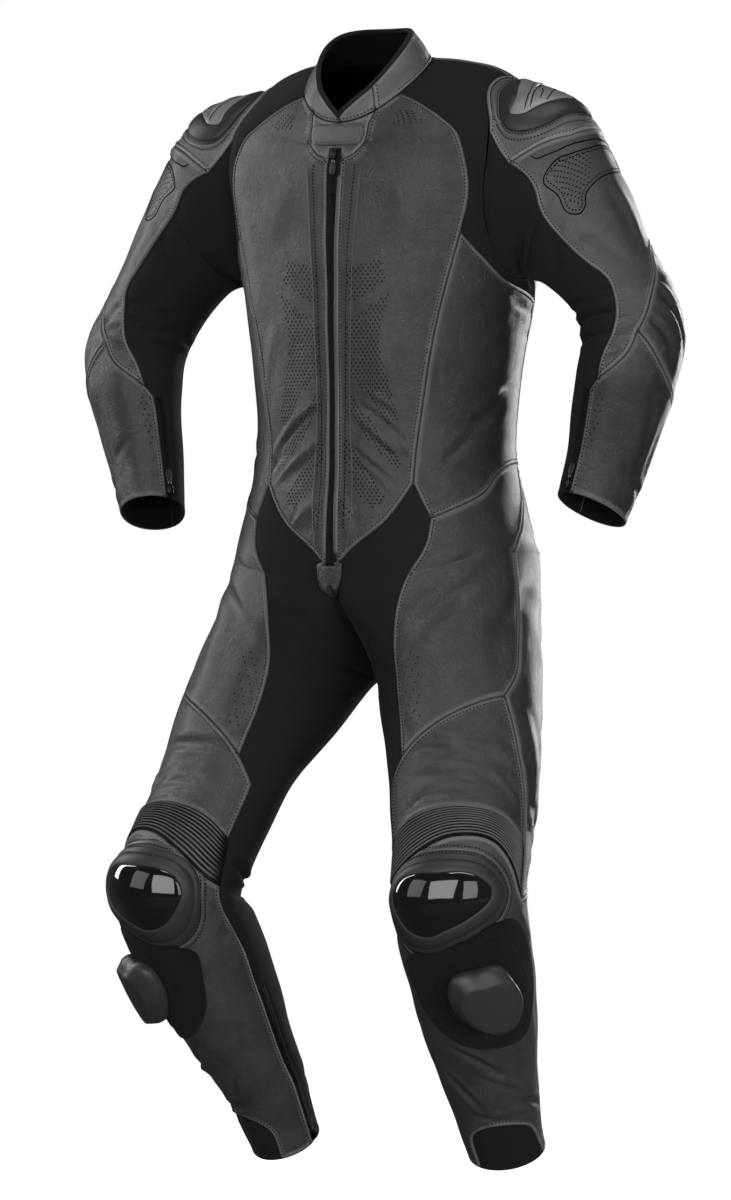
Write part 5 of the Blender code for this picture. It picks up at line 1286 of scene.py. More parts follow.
# %% Grids between four seams
def sewn_grid(tube, top, bottom, start, end, across, along):
    """A Coons patch: the blend of two opposite pairs of seams less the blend of their corners."""
    high, low = line_of(tube, top, across), line_of(tube, bottom, across)
    left, right = line_of(tube, start, along), line_of(tube, end, along)
    for edge, corner in ((left, high[0]), (right, high[-1]), (low, left[-1])):
        edge[:, 0] += 360 * np.round((corner[0] - edge[0, 0]) / 360)
    s = np.linspace(0, 1, across + 1)[None, :, None]
    t = np.linspace(0, 1, along + 1)[:, None, None]
    return ((1 - t) * high[None] + t * low[None] + (1 - s) * left[:, None] + s * right[:, None]
            - (1 - t) * ((1 - s) * high[0] + s * high[-1]) - t * ((1 - s) * low[0] + s * low[-1]))


def grid_faces(rows, columns, around=False):
    """Quads of a grid of points, closed round the columns if asked."""
    i, j = np.mgrid[0:rows - 1, 0:columns if around else columns - 1]
    i, j, k = i.ravel(), j.ravel(), (j.ravel() + 1) % columns
    return np.stack([i * columns + j, i * columns + k, (i + 1) * columns + k, (i + 1) * columns + j], -1)


def over_grid(tube, sides, places, lift):
    """A grid of places as points raised by lift mm, quads that face out, and their map, for each side."""
    flat, parts, maps = places.reshape(-1, 2), [], []
    for side in sides:
        spots, out = skin(tube, side, *flat.T), skin_ways(tube, side, *flat.T)[2]
        spots_up = spots + out * (lift + swells(spots))[:, None]
        quads = grid_faces(*places.shape[:2])
        a, b, c = (spots_up[quads[:, i]] for i in range(3))
        if (np.cross(b - a, c - b) * out[quads[:, 0]]).sum() < 0:
            quads = quads[:, ::-1]
        parts.append((spots_up, quads))
        maps.append((flat * scale_of(tube))[quads])
    return (*gathered(parts), np.concatenate(maps))


def rib_height(count, rise, rows, until):
    """Rows of round ribs with narrow grooves: rise * |sin|^0.8 over each rib, then a flat padded band."""
    t = np.linspace(0, 1, rows)
    band = np.clip((t - until) / 0.03, 0, 1) * np.clip((1 - t) / 0.05, 0, 1)
    return np.where(t < until, rise * np.abs(np.sin(np.pi * count * t / until)) ** 0.8, 1.8 * np.sqrt(band))


RIB_COLUMNS, RIB_ENDS = 56, 6   # steps across the grid, and those over which the ribs fade out at a seam
RIB_SUNK = 0.6                  # mm that the grooves are under the skin


def ribbed(name, node_name, tube, sides, seams, along, ribs, rise, until=1.0):
    """A ribbed panel with its wall, its ribs fading out at both ends, but not where it crosses the middle."""
    places = sewn_grid(tube, *seams, RIB_COLUMNS, along)
    rows, columns = places.shape[:2]
    profile = rib_height(ribs, rise, rows, until)[:, None] - RIB_SUNK
    inset = np.arange(columns)
    ends = np.minimum(inset / RIB_ENDS, 1) * (
        np.minimum((columns - 1 - inset) / RIB_ENDS, 1) if len(sides) == 1 else 1.0)
    height = (profile * np.sin(ends * np.pi / 2)[None] ** 0.7).ravel()
    points, faces, maps = over_grid(tube, sides, places, height)
    # Painted light on the ribs: paler as painted highlight on the crests, darker as painted shade in the
    # grooves, below 0.
    painted_rib_light = np.tile(np.clip(height / rise * 2.4 - 1.3, -0.25, 0.9), len(sides))
    if len(sides) == 2:
        _, first, number = np.unique(np.round(points * 20).astype(int), axis=0, return_index=True,
                                     return_inverse=True)
        points, faces, painted_rib_light = points[first], number.ravel()[faces], painted_rib_light[first]
    made = thing(name, points, faces, [LEATHER_RIB, LINING], maps)
    mark_painted_light(made, painted_rib_light)
    wall(made, WALL)
    declared(made, "leather", node_name)


for side, end in ENDS.items():
    ribbed("knee_ribs" + end, "knee_accordion" + end, "leg", (side,),
           ("rib_top", "rib_low", "rib_side", "rib_side_outer"), along=130, ribs=11, rise=3.8, until=0.96)
ribbed("waist_ribs", "back_accordion", "torso", (1, -1),
       ("waist_head", "waist_base", "waist_high waist_low", "waist_middle"), along=100, ribs=10, rise=3.4)

# %% [markdown]
# ## Shapes laid on a panel
# Cups, pucks, patches and inserts all sit on a curved panel. Each is drawn as an outline on its tube, in
# degrees and millimetres, and raised along the panel's own outward way, so it fits however the panel
# curves. Its section runs from the outline to the middle, which gives rims, steps and domes in one go.

# %% Outlines, discs and rings on a tube
def closed_line(knots, count):
    """A smooth closed outline through its knots, as count points."""
    knots = np.array(knots, float)
    ring_knots = np.concatenate([knots[-2:], knots, knots[:3]])
    at = np.concatenate([[0], np.cumsum(np.hypot(*np.diff(ring_knots, axis=0).T))])
    share = np.linspace(at[2], at[2 + len(knots)], count, endpoint=False)
    return np.stack([between(dict(at=at, v=ring_knots[:, c]), "v", share) for c in (0, 1)], -1)


ARMS, PATCH_ARMS = 96, 120   # corners of a disc's or a ring's outline, and of a loop patch's


def star(tube, knots, centre, count=ARMS):
    """An outline as arms from a centre at even angles: where each arm meets it, in mm on the flat tube."""
    scale = scale_of(tube)
    line = closed_line(knots, 600) * scale - np.array(centre) * scale
    angle, size = np.arctan2(line[:, 1], line[:, 0]), np.linalg.norm(line, axis=1)
    order = np.argsort(angle)
    turn = np.linspace(-np.pi, np.pi, count, endpoint=False)
    arm = np.interp(turn, angle[order], size[order], period=2 * np.pi)
    return np.stack([np.cos(turn) * arm, np.sin(turn) * arm], -1)


def raised(tube, side, centre, flat, heights):
    """Points over a tube: flat is mm from the centre on the flat tube, heights are mm over the skin."""
    scale = scale_of(tube)
    places = np.array(centre) + flat / scale
    spots = skin(tube, side, places[..., 0], places[..., 1])
    out = skin_ways(tube, side, places[..., 0], places[..., 1])[2]
    swell = swells(spots.reshape(-1, 3)).reshape(heights.shape)
    return spots + out * (heights + swell)[..., None]


def facing_out(points, faces, middle):
    """The faces, turned round as a whole if they enclose a negative volume."""
    corners = points[faces] - middle
    volume = sum((np.cross(corners[:, 0], corners[:, k - 1]) * corners[:, k]).sum()
                 for k in range(2, faces.shape[1]))
    return faces if volume > 0 else faces[:, ::-1]


def solid_of_rows(name, rows, material, slot, closed=False, node_name=None):
    """Rings of points as one solid: closed on itself, or its first and last ring each drawn to a point."""
    count, columns = rows.shape[:2]
    quads = grid_faces(count + closed, columns, around=True) % (count * columns)
    points = rows.reshape(-1, 3)
    faces = facing_out(points, quads, points.mean(axis=0))
    if not closed:
        first, last = rows[0].mean(axis=0), rows[-1].mean(axis=0)
        points[:columns], points[-columns:] = first, last
    made = thing(name, points, faces, [material])
    if not closed:
        tidy = bmesh.new()
        tidy.from_mesh(made.data)
        bmesh.ops.remove_doubles(tidy, verts=tidy.verts, dist=1e-6)
        tidy.to_mesh(made.data)
        tidy.free()
    return declared(made, slot, node_name)


def disc(name, tube, side, centre, arms, levels, material, slot, shift=(0, 0), node_name=None):
    """A domed disc: levels are (share of the outline, mm over the skin, share of the shift or none)."""
    levels = np.array([(*level, 0)[:3] for level in levels], float)
    flat = arms[None] * levels[:, 0, None, None] + np.array(shift) * levels[:, 2, None, None]
    heights = np.broadcast_to(levels[:, 1, None], flat.shape[:2])
    solid_of_rows(name, raised(tube, side, centre, flat, heights), material, slot, node_name=node_name)


def ring_band(name, tube, side, centre, outer, inner, levels, material, slot, node_name):
    """A closed ring between two outlines: levels are (0 at the outer one to 1 at the inner, mm over)."""
    levels = np.array(levels, float)
    share = levels[:, 0, None, None]
    flat = outer[None] * (1 - share) + inner[None] * share
    heights = np.broadcast_to(levels[:, 1, None], flat.shape[:2])
    solid_of_rows(name, raised(tube, side, centre, flat, heights), material, slot, True, node_name)


# %% [markdown]
# ## Knee cups
# A cup has a matte moulded frame with two soft ridges, and a polished insert that domes over the knee.
# They are two pieces, because they are two materials, and the frame's inner lip overlaps the insert.

# %% Knee cups
CUP = [(-158, 408), (-153, 386), (-138, 373), (-110, 369), (-88, 370), (-64, 375), (-46, 389), (-37, 407),
       (-44, 425), (-62, 437), (-84, 446), (-112, 455), (-134, 453), (-152, 438)]
CUP_INSERT = [(-143, 408), (-139, 397), (-131, 390), (-121, 388), (-98, 389), (-76, 390), (-64, 395),
              (-55, 405), (-56, 412), (-63, 419), (-76, 427), (-93, 434), (-108, 439), (-118, 438),
              (-128, 433), (-139, 419)]
CUP_MIDDLE = (-96, 409)
FRAME_LEVELS = [(-0.02, -0.5), (-0.04, 1.5), (0.0, 3.6), (0.10, 4.9), (0.22, 5.0), (0.30, 4.3), (0.34, 5.6),
                (0.45, 8.2), (0.60, 9.8), (0.80, 10.4), (0.96, 10.0), (1.03, 8.8), (1.04, 6.0), (0.9, 0.5),
                (0.5, -0.5)]
DOME_LEVELS = [(0, 3), (0.8, 3), (1.02, 6), (1.02, 8.4), (0.985, 9.2), (0.94, 9.6), (0.86, 10.1),
               (0.72, 10.6), (0.54, 11.0), (0.34, 11.3), (0.16, 11.5), (0, 11.5)]
outer, inner = star("leg", CUP, CUP_MIDDLE), star("leg", CUP_INSERT, CUP_MIDDLE)
for side, end in ENDS.items():
    ring_band("knee_cup_frame" + end, "leg", side, CUP_MIDDLE, outer, inner, FRAME_LEVELS, FRAME, "knee_shell",
              "knee_cup" + end)
    disc("knee_cup_insert" + end, "leg", side, CUP_MIDDLE, inner, DOME_LEVELS, GLOSS, "knee_shell")

# %% [markdown]
# ## Knee pucks on their loop patches
# The puck is a hard moulded block on a base that grips a patch of loop fabric. Its top is smaller than
# its foot and set off to one side, so one flank is a wide bevel. Shifting the section's upper levels
# gives that bevel without modelling it.

# %% Loop patches, bases and pucks
PATCH = [(-73, 444), (-50, 434), (-30, 434), (-18, 447), (-8, 495), (-14, 547), (-33, 582), (-70, 582),
         (-100, 568), (-127, 538), (-139, 500), (-141, 464), (-124, 456)]
PATCH_MIDDLE = (-78, 510)
BASE = [(-108, 510), (-110, 489), (-102, 472), (-76, 458), (-56, 447), (-46, 447), (-37, 458), (-25, 490),
        (-26, 536), (-38, 558), (-62, 566), (-88, 556), (-103, 534)]
PUCK_LINE = [(-98, 487), (-93, 476), (-84, 472), (-73, 472), (-62, 470), (-53, 473), (-48, 485), (-45, 505),
             (-46, 523), (-50, 537), (-59, 548), (-70, 549), (-80, 543), (-89, 531), (-96, 515), (-99, 498)]
PUCK_MIDDLE = (-70, 513)
PATCH_LEVELS = [(0, -0.6), (0.97, -0.6), (1.0, 0.4), (1.0, 1.6), (0.975, 2.6), (0.93, 2.9), (0.8, 2.9),
                (0.6, 2.9), (0.3, 2.9), (0, 2.9)]
BASE_LEVELS = [(0, 2.0), (0.96, 2.0), (1.0, 2.9), (0.99, 3.8), (0.95, 4.3), (0.7, 4.5), (0.3, 4.8), (0, 5.0)]
PUCK_LEVELS = [(0, 4.2), (0.9, 4.2), (0.985, 4.4), (1.0, 5.4), (1.005, 9.0), (0.995, 13.0),
               (0.975, 16.5, 0.1), (0.93, 20.0, 0.3), (0.885, 23.2, 0.6), (0.84, 26.2, 0.85),
               (0.81, 28.2, 0.95), (0.78, 29.4, 1), (0.74, 30.0, 1), (0.6, 30.6, 1), (0.3, 31.0, 1),
               (0, 31.2, 1)]
PUCK_SHIFT = (6.0, 2.0)   # mm that the puck's top is off its foot, across and down
for side, end in ENDS.items():
    disc("knee_loop" + end, "leg", side, PATCH_MIDDLE, star("leg", PATCH, PATCH_MIDDLE, PATCH_ARMS),
         PATCH_LEVELS, LOOP, "loop_fabric", node_name="knee_patch" + end)
    disc("puck_base" + end, "leg", side, PUCK_MIDDLE, star("leg", BASE, PUCK_MIDDLE), BASE_LEVELS, LOOP,
         "slider_plastic")
    disc("knee_puck_block" + end, "leg", side, PUCK_MIDDLE, star("leg", PUCK_LINE, PUCK_MIDDLE), PUCK_LEVELS,
         PUCK, "slider_plastic", PUCK_SHIFT, "knee_puck" + end)

# %% [markdown]
# ## Shoulder inserts
# A grey moulded plate with a raised spine, let into a black padded frame. Two vents are cut through it.
# The vents are separate dark pieces set into the plate: cutting real holes would show the leather below,
# which the real mesh behind them hides. Their near-black is that mesh with painted shade inside the vent.

# %% Shoulder inserts
SHOULDER = [(-46, 14), (-51, 19), (-52, 28), (-47, 42), (-38, 52), (-20, 60), (8, 66), (28, 62), (40, 44),
            (41, 26), (30, 13), (0, 10), (-25, 11)]
PLATE = [(-38, 21), (-28, 23), (-17, 23), (4, 18), (18, 13), (30, 11), (37, 18), (36, 36), (26, 47), (11, 54),
         (-2, 52), (-13, 48), (-27, 40), (-36, 33)]
SHOULDER_MIDDLE = (-6, 36)
PAD_LEVELS = [(-0.02, -0.8), (-0.04, 1.2), (0.06, 3.0), (0.25, 4.6), (0.5, 6.0), (0.75, 7.0), (0.94, 7.2),
              (1.03, 6.2), (1.04, 4.0), (0.9, 0.0), (0.5, -0.8)]
PLATE_LEVELS = [(0, 2.5), (0.8, 2.5), (1.02, 4.2), (1.02, 6.2), (0.98, 7.2), (0.93, 7.7), (0.8, 8.4),
                (0.62, 9.1), (0.4, 9.7), (0.2, 10.0), (0, 10.1)]
outer, inner = star("sleeve", SHOULDER, SHOULDER_MIDDLE), star("sleeve", PLATE, SHOULDER_MIDDLE)
for side, end in ENDS.items():
    ring_band("shoulder_frame" + end, "sleeve", side, SHOULDER_MIDDLE, outer, inner, PAD_LEVELS, FRAME,
              "shoulder_shell", "shoulder_slider" + end)
    disc("shoulder_plate" + end, "sleeve", side, SHOULDER_MIDDLE, inner, PLATE_LEVELS, SHELL, "shoulder_shell")

# %% [markdown]
# ## Lines laid along a path
# Bindings, piping and raised ridges are all the same idea: a small section carried along a path on the
# finished surface.

# %% Carry a section along a path
def carried(name, path, outs, section, material, slot, closed=False, taper=0.0):
    """A closed section (across, out) at each point of a path; its ends shrink over taper of the run."""
    along = unit(np.roll(path, -1, axis=0) - np.roll(path, 1, axis=0) if closed else np.gradient(path, axis=0))
    outs = unit(outs - along * (outs * along).sum(-1, keepdims=True))
    across = np.cross(along, outs)
    size = np.ones(len(path))
    if not closed:
        share = run_of(path) / run_of(path)[-1]
        size = np.sqrt(np.clip(np.minimum(share, 1 - share) / max(taper, 1e-3), 0, 1))
        size[[0, -1]] = 0.0
    rows = (path[:, None] + size[:, None, None] * (section[None, :, :1] * across[:, None]
            + section[None, :, 1:] * outs[:, None]))
    solid_of_rows(name, rows, material, slot, closed)


def oval(wide, high, count, lift=0.0):
    """An oval section of count corners, so many mm wide and high, raised by lift."""
    turn = np.arange(count) * 2 * np.pi / count
    return np.stack([np.cos(turn) * wide / 2, np.sin(turn) * high / 2 + lift], -1)


def tree_of_object(name):
    """A search tree over an object's mesh, in mm."""
    mesh = bpy.data.objects[name].data
    points = np.empty(len(mesh.vertices) * 3, np.float32)
    mesh.vertices.foreach_get("co", points)
    return BVHTree.FromPolygons((points.reshape(-1, 3) / MM).tolist(),
                                [list(p.vertices) for p in mesh.polygons])


PATH_STEP = 3.0   # mm between the points of a path


def path_on(tube, side, places, closed):
    """An even path over the finished surface along places on a tube."""
    if closed:
        places = np.concatenate([places, places[:1]])
    line = skin(tube, side, *places.T)
    run = run_of(line)
    spots = read_off(line, run, np.linspace(0, run[-1], max(4, int(run[-1] / PATH_STEP)) + 1))
    return onto(spots[:-1] if closed else spots)


def smooth_places(knots, count):
    """A smooth open line of places through its knots."""
    return smooth_line(np.array(knots, float), np.linspace(0, 1, count))


# %% Collar binding
def both_halves(line):
    """A row of points or ways on the wearer's left, gone on with on the right into a closed loop."""
    return np.concatenate([line, (line * [-1, 1, 1])[-2:0:-1]])


BINDING_IN, TAPE_IN = 0.6, 2.6   # mm inside the skin: the rim's binding, and the tape over the neck seam
places = line_of("collar", "rim_front rim_back").T
loop, loop_outs = both_halves(skin("collar", 1, *places)), both_halves(skin_ways("collar", 1, *places)[2])
loop_outs[0] = unit(loop_outs[0] * [0, 1, 1])
carried("collar_rim_binding", loop - loop_outs * BINDING_IN, loop_outs, oval(6.4, 6.0, 12), BINDING,
        "collar_leather", closed=True)
places = line_of("collar", "collar_front_base neckline_front neckline_shoulder neckline_back").T
path, outs = both_halves(skin("collar", 1, *places)), both_halves(skin_ways("collar", 1, *places)[2])
carried("neck_tape", path - outs * TAPE_IN, outs, oval(12, 1.4, 12), LINING, "collar_leather", closed=True)
print("binding:", round(run_of(loop)[-1]), "mm round the neck")

# %% Vents and ridges of the shoulder inserts
VENTS = [[(24, 26), (27, 30), (20, 40), (13, 48), (10, 45), (16, 37)], [(9, 51), (15, 49), (13, 54), (5, 54)]]
GROOVES = [[(30, 13), (26, 20), (15, 24), (-10, 30), (-35, 33)], [(25, 25), (4, 31), (-15, 34), (-31, 37)],
           [(33, 11), (30, 15), (27, 18)], [(25, 25), (20, 31), (14, 38)],
           [(-19, 45), (-6, 43), (6, 40), (14, 38)], [(2, 34), (-8, 38), (-18, 40)]]
SPINE = [(31, 16), (26, 22), (10, 27), (-12, 32), (-33, 35)]


SEEN_FROM = 16   # mm over the sleeve, which is higher than any shoulder insert


def over(side, places, tree):
    """The nearest places on a raised piece, seen from over the sleeve, and the ways out of it."""
    return onto(skin("sleeve", side, *places.T) + SEEN_FROM * skin_ways("sleeve", side, *places.T)[2], tree)


for side, end in ENDS.items():
    plate = tree_of_object("shoulder_plate" + end)
    for number, knots in enumerate(VENTS):
        line = closed_line(knots, 60)
        middle = line.mean(axis=0)
        rim, inside_rim, centre = (over(side, middle + (line - middle) * share, plate)
                                   for share in (1, 0.8, 0))
        rows = np.stack([spots + outs * lift for (spots, outs), lift in (
            (centre, -1), (rim, -1), (rim, 0.1), (inside_rim, 0.16), (centre, 0.16))])
        solid_of_rows("shoulder_vent_%d" % number + end, rows, HOLLOW_SHADE, "shoulder_shell")
    # The grooves are thin near-black cords on the plate: painted shade in its moulded grooves.
    for number, knots in enumerate(GROOVES):
        spots, outs = over(side, smooth_places(knots, 40), plate)
        carried("shoulder_groove_%d" % number + end, spots, outs, oval(1.3, 0.9, 8, 0.05), HOLLOW_SHADE,
                "shoulder_shell", taper=0.05)
    spots, outs = over(side, smooth_places(SPINE, 40), plate)
    carried("shoulder_spine" + end, spots, outs, oval(4.4, 3.4, 12, 0.1), SHELL, "shoulder_shell", taper=0.12)

# %% Welts and piping
def piping(name, tube, knots, wide, high, material, closed=False):
    """A thin cord along a line of places, on both sides of the suit."""
    places = closed_line(knots, 120) if closed else smooth_places(knots, 60)
    for side, end in ENDS.items():
        carried(name + end, *path_on(tube, side, places, closed), oval(wide, high, 8, lift=0.1), material,
                "leather", closed, taper=0.03)


def spread(tube, knots, by):
    """A closed outline moved out by so many mm."""
    line = closed_line(knots, 120) * scale_of(tube)
    along = unit(np.roll(line, -1, axis=0) - np.roll(line, 1, axis=0))
    outward = np.stack([along[:, 1], -along[:, 0]], -1)
    if ((line - line.mean(axis=0)) * outward).sum() < 0:
        outward = -outward
    return (line + outward * by) / scale_of(tube)


TRIANGLE = [(-68, 78), (-57, 80), (-39, 93), (-19, 102), (4, 104), (24, 108), (20, 134), (0, 138), (-29, 141),
            (-42, 147), (-47, 158), (-54, 162), (-61, 156), (-65, 122)]
PAD_EDGE = [(-66, 50), (-66, 58), (-60, 66), (-52, 73), (-35, 84), (-21, 91), (4, 96), (26, 98)]
PLACKET = [(-83.2, 165), (-83.6, 300), (-83.8, 480), (-84.2, 640), (-86, 672)]
PLACKET_STITCHES = [(-85.0, 165), (-85.4, 300), (-85.6, 480), (-86, 640)]
piping("sleeve_field_edge", "sleeve", TRIANGLE, wide=1.6, high=1.0, material=THREAD, closed=True)
piping("shoulder_frame_welt", "sleeve", spread("sleeve", SHOULDER, 4.6), wide=4.4, high=1.5,
       material=LEATHER_PALE, closed=True)
piping("knee_cup_welt", "leg", spread("leg", CUP, 5.4), wide=5.0, high=2.0, material=LEATHER_CORD, closed=True)
piping("upper_pad_edge", "sleeve", PAD_EDGE, wide=1.6, high=1.3, material=THREAD)
piping("placket_edge", "torso", PLACKET, wide=1.4, high=1.0, material=LEATHER_CORD)

SEWN_ROUND = [  # tube, outline, mm outside it
    ("leg", CUP, 2.6), ("leg", CUP, 8.6), ("leg", PATCH, -4.5), ("sleeve", SHOULDER, 2.0),
    ("sleeve", SHOULDER, 7.4), ("sleeve", TRIANGLE, -4.0)]
for side, end in ENDS.items():
    sew("insert_stitches" + end,
        [stitch_line(tube, side, spread(tube, knots, by)) for tube, knots, by in SEWN_ROUND]
        + [stitch_line("torso", side, smooth_places(PLACKET_STITCHES, 200))])

# %% [markdown]
# ## Perforations
# Fields of punched holes let air through. A real hole in every place would cost a million faces, so each
# is a small dark dimple, near-black for the lining seen through it and painted shade of its depth: a ring of
# eight edge points sunk a little at its middle, repeated over a honeycomb of places inside the field's
# outline.

# %% Punch the holes
FIELDS = [  # tube, outline, pitch in mm
    ("torso", [(-52, 26), (-45, 40), (-50, 84), (-62, 62)], 7.6),
    ("torso", [(-86, 327), (-74, 312), (-70, 339), (-77, 354), (-84, 368)], 4.9),
    ("torso", [(-85, 390), (-68, 354), (-72, 399), (-71, 423), (-62, 508), (-67, 516), (-78, 471),
               (-85, 453)], 4.9),
    ("torso", [(-85, 471), (-69, 528), (-60, 561), (-63, 568), (-79, 522), (-85, 497)], 4.9),
    ("torso", [(-86, 528), (-75, 576), (-69, 603), (-75, 618), (-82, 591), (-86, 555)], 4.9),
    ("torso", [(-87, 598), (-83, 622), (-84, 636), (-87, 620)], 4.9),
    ("leg", [(-111, 108), (-100, 112), (-115, 213), (-131, 206)], 9.5),
    ("sleeve", [(-113, 405), (-101, 405), (-104, 470), (-116, 470)], 9.0),
    ("sleeve", [(-64, 81), (-57, 82), (-38, 95), (-20, 105), (-24, 126), (-31, 135), (-44, 142), (-53, 152),
                (-58, 147)], 5.3),
]
HOLE_RADIUS, RIM_HIGH, SUNK_HIGH = 1.05, 0.12, 0.1   # mm, and mm over the leather
turn = np.arange(8) * np.pi / 4
hole = np.concatenate([np.stack([np.cos(turn), np.sin(turn), 0 * turn + RIM_HIGH], -1)
                       * [HOLE_RADIUS, HOLE_RADIUS, 1], [[0, 0, SUNK_HIGH]]])
hole_faces = np.stack([np.arange(8), (np.arange(8) + 1) % 8, np.full(8, 8)], -1)
for side, end in ENDS.items():
    spots, frames = [], []
    for tube, outline, pitch in FIELDS:
        places = honeycomb(np.array(outline, float) * scale_of(tube), pitch) / scale_of(tube)
        spot, out = onto(skin(tube, side, *places.T))
        first = unit(np.cross(out, [0.0, 0.0, 1.0]))
        spots.append(spot)
        frames.append(np.stack([first, np.cross(out, first), out], 1))
    repeated("perforations" + end, hole, hole_faces, np.concatenate(spots), np.concatenate(frames), HOLLOW_SHADE,
             "leather")
    print("holes" + end, sum(len(s) for s in spots))

# %% [markdown]
# ## Zips
# A zip is two tapes, two rows of teeth that mesh, and a slider with a pull. The tapes fill the gap that
# the panels leave. The teeth are one small form repeated along the middle, left and right in turn.

# %% Tapes and teeth
TAPE_ROWS = 120                                      # steps along a tape
TAPE_DEPTH, TAPE_WALL, TOOTH_LIFT = -1.0, 0.9, 0.5   # mm: tape over the skin, its wall, teeth over the tape


def zip_of(name, tube, sides, seams, across, pitch, tooth):
    """A zip's tape with its two rows of teeth, which stand in turn on either side of its middle."""
    places = sewn_grid(tube, *seams, across, TAPE_ROWS)
    rows, columns = places.shape[:2]
    middle = 0 if len(sides) == 2 else columns // 2
    share = np.linspace(0, 1, columns)
    sunk = TAPE_DEPTH + 0.5 * np.abs(share - share[middle])
    points, faces, maps = over_grid(tube, sides, places, np.tile(sunk, rows))
    tape = thing(name + "_tape", points, faces, [TAPE], maps)
    wall(tape, TAPE_WALL, 0)
    declared(tape, "zip", name)
    line = points[:rows * columns].reshape(rows, columns, 3)[:, middle]
    run = run_of(line)
    even = (np.arange(int(run[-1] / pitch)) + 0.5) * pitch
    spots = read_off(line, run, even)
    outs = unit(read_off(skin_ways(tube, sides[0], *places[:, middle].T)[2], run, even))
    along = unit(np.gradient(spots, axis=0))
    over_to = unit(np.cross(along, outs))
    turns = np.where(np.arange(len(even)) % 2, 0.7, -0.7) * tooth[0] / 3.4
    spots = spots + outs * TOOTH_LIFT + over_to * turns[:, None]
    repeated(name + "_teeth", *capsule(*tooth, sides=6), spots, np.stack([along, over_to, outs], 1), METAL,
             "zip_metal")


zip_of("front_zip", "torso", (1, -1), ("zip_head", "zip_foot", "zip_middle", "zip_side_high zip_side"),
       across=4, pitch=1.7, tooth=(3.6, 1.15, 1.3))

PLACKET_LIFT, PLACKET_AT = 1.3, -88.6   # mm that its middle is over the skin, and degrees round the torso
# The placket: a flat strip that covers the wearer's left row of teeth, from just under the slider.
down = np.linspace(186, 672, 120)
angle = 0 * down + PLACKET_AT
spots, ways = skin("torso", 1, angle, down), skin_ways("torso", 1, angle, down)[2]
carried("zip_placket", spots + ways * (PLACKET_LIFT + swells(spots))[:, None], ways, oval(6.5, 1.8, 12),
        LEATHER_CORD, "leather", taper=0.01)
for side, end in ENDS.items():
    for name, tube, pitch, tooth in (("cuff_zip", "sleeve", 1.5, (3.2, 1.0, 1.2)),
                                     ("calf_zip", "leg", 1.6, (3.4, 1.1, 1.2))):
        zip_of(name + end, tube, (side,), [name + seam for seam in ("_top", "_end", "_side", "_side_in")],
               across=12, pitch=pitch, tooth=tooth)


# %% Sliders and pulls
def stacked(outline, levels):
    """An outline in levels of (height, inset), closed by a fan at both ends: points and triangles."""
    outline = np.asarray(outline, float)
    middle, count = outline.mean(axis=0), len(outline)
    size = np.linalg.norm(outline - middle, axis=1, keepdims=True)
    rings = [np.column_stack([middle + (outline - middle) * (size - inset) / size, np.full(count, height)])
             for height, inset in levels]
    points = np.concatenate([[[*middle, levels[0][0]]], *rings, [[*middle, levels[-1][0]]]])
    i = np.arange(count)
    j, last = (i + 1) % count, len(points) - 1
    faces = [np.stack([0 * i, 1 + j, 1 + i], -1)]
    for k in range(len(levels) - 1):
        a, b = 1 + k * count, 1 + (k + 1) * count
        faces += [np.stack([a + i, a + j, b + j], -1), np.stack([a + i, b + j, b + i], -1)]
    faces.append(np.stack([last + 0 * i, last - count + i, last - count + j], -1))
    return points, np.concatenate(faces)


def torus(radius_x, radius_y, thick):
    """A ring of oval plan: a small circle carried round an oval."""
    turn, small = np.arange(28) * 2 * np.pi / 28, np.arange(8) * 2 * np.pi / 8
    way = np.stack([np.cos(turn), np.sin(turn)], -1)
    size = np.array([radius_x, radius_y]) + 0 * way
    flat = way[:, None] * (size[:, None] + thick / 2 * np.cos(small)[None, :, None])
    high = np.broadcast_to(np.sin(small)[None, :, None] * thick / 2, (*flat.shape[:2], 1))
    points = np.concatenate([flat, high], -1).reshape(-1, 3)
    quads = grid_faces(29, 8, around=True) % len(points)
    return points, np.concatenate([quads[:, [0, 1, 2]], quads[:, [0, 2, 3]]])


def placed_form(name, parts, seat, material, body, node_name=None):
    """Forms in a seat's frame (across, along, out) joined into one mesh on a body."""
    here, *ways = seat
    points, faces = gathered([(here + form @ np.stack(ways), corners) for form, corners in parts])
    made = thing(name, points, facing_out(points, faces, points.mean(axis=0)), [material])
    declared(made, "zip_metal", node_name, body)


def seat_at(tube, side, angle, down, hang):
    """A place on the skin, and the ways across, down and out there; hang -1 turns the first two round."""
    angle, down = np.array(float(angle)), np.array(float(down))
    here = skin(tube, side, angle, down)
    along = unit(skin(tube, side, angle, down + 2) - here)
    out = side * unit(np.cross(along, skin(tube, side, angle + 2, down) - here))
    return here, np.cross(out, along) * hang, along * hang, out


def bar(half, low, high, count, levels):
    """A rounded bar across the seat, from low to high along it."""
    return stacked(closed_line([(-half, low), (half, low), (half, high), (-half, high)], count), levels)


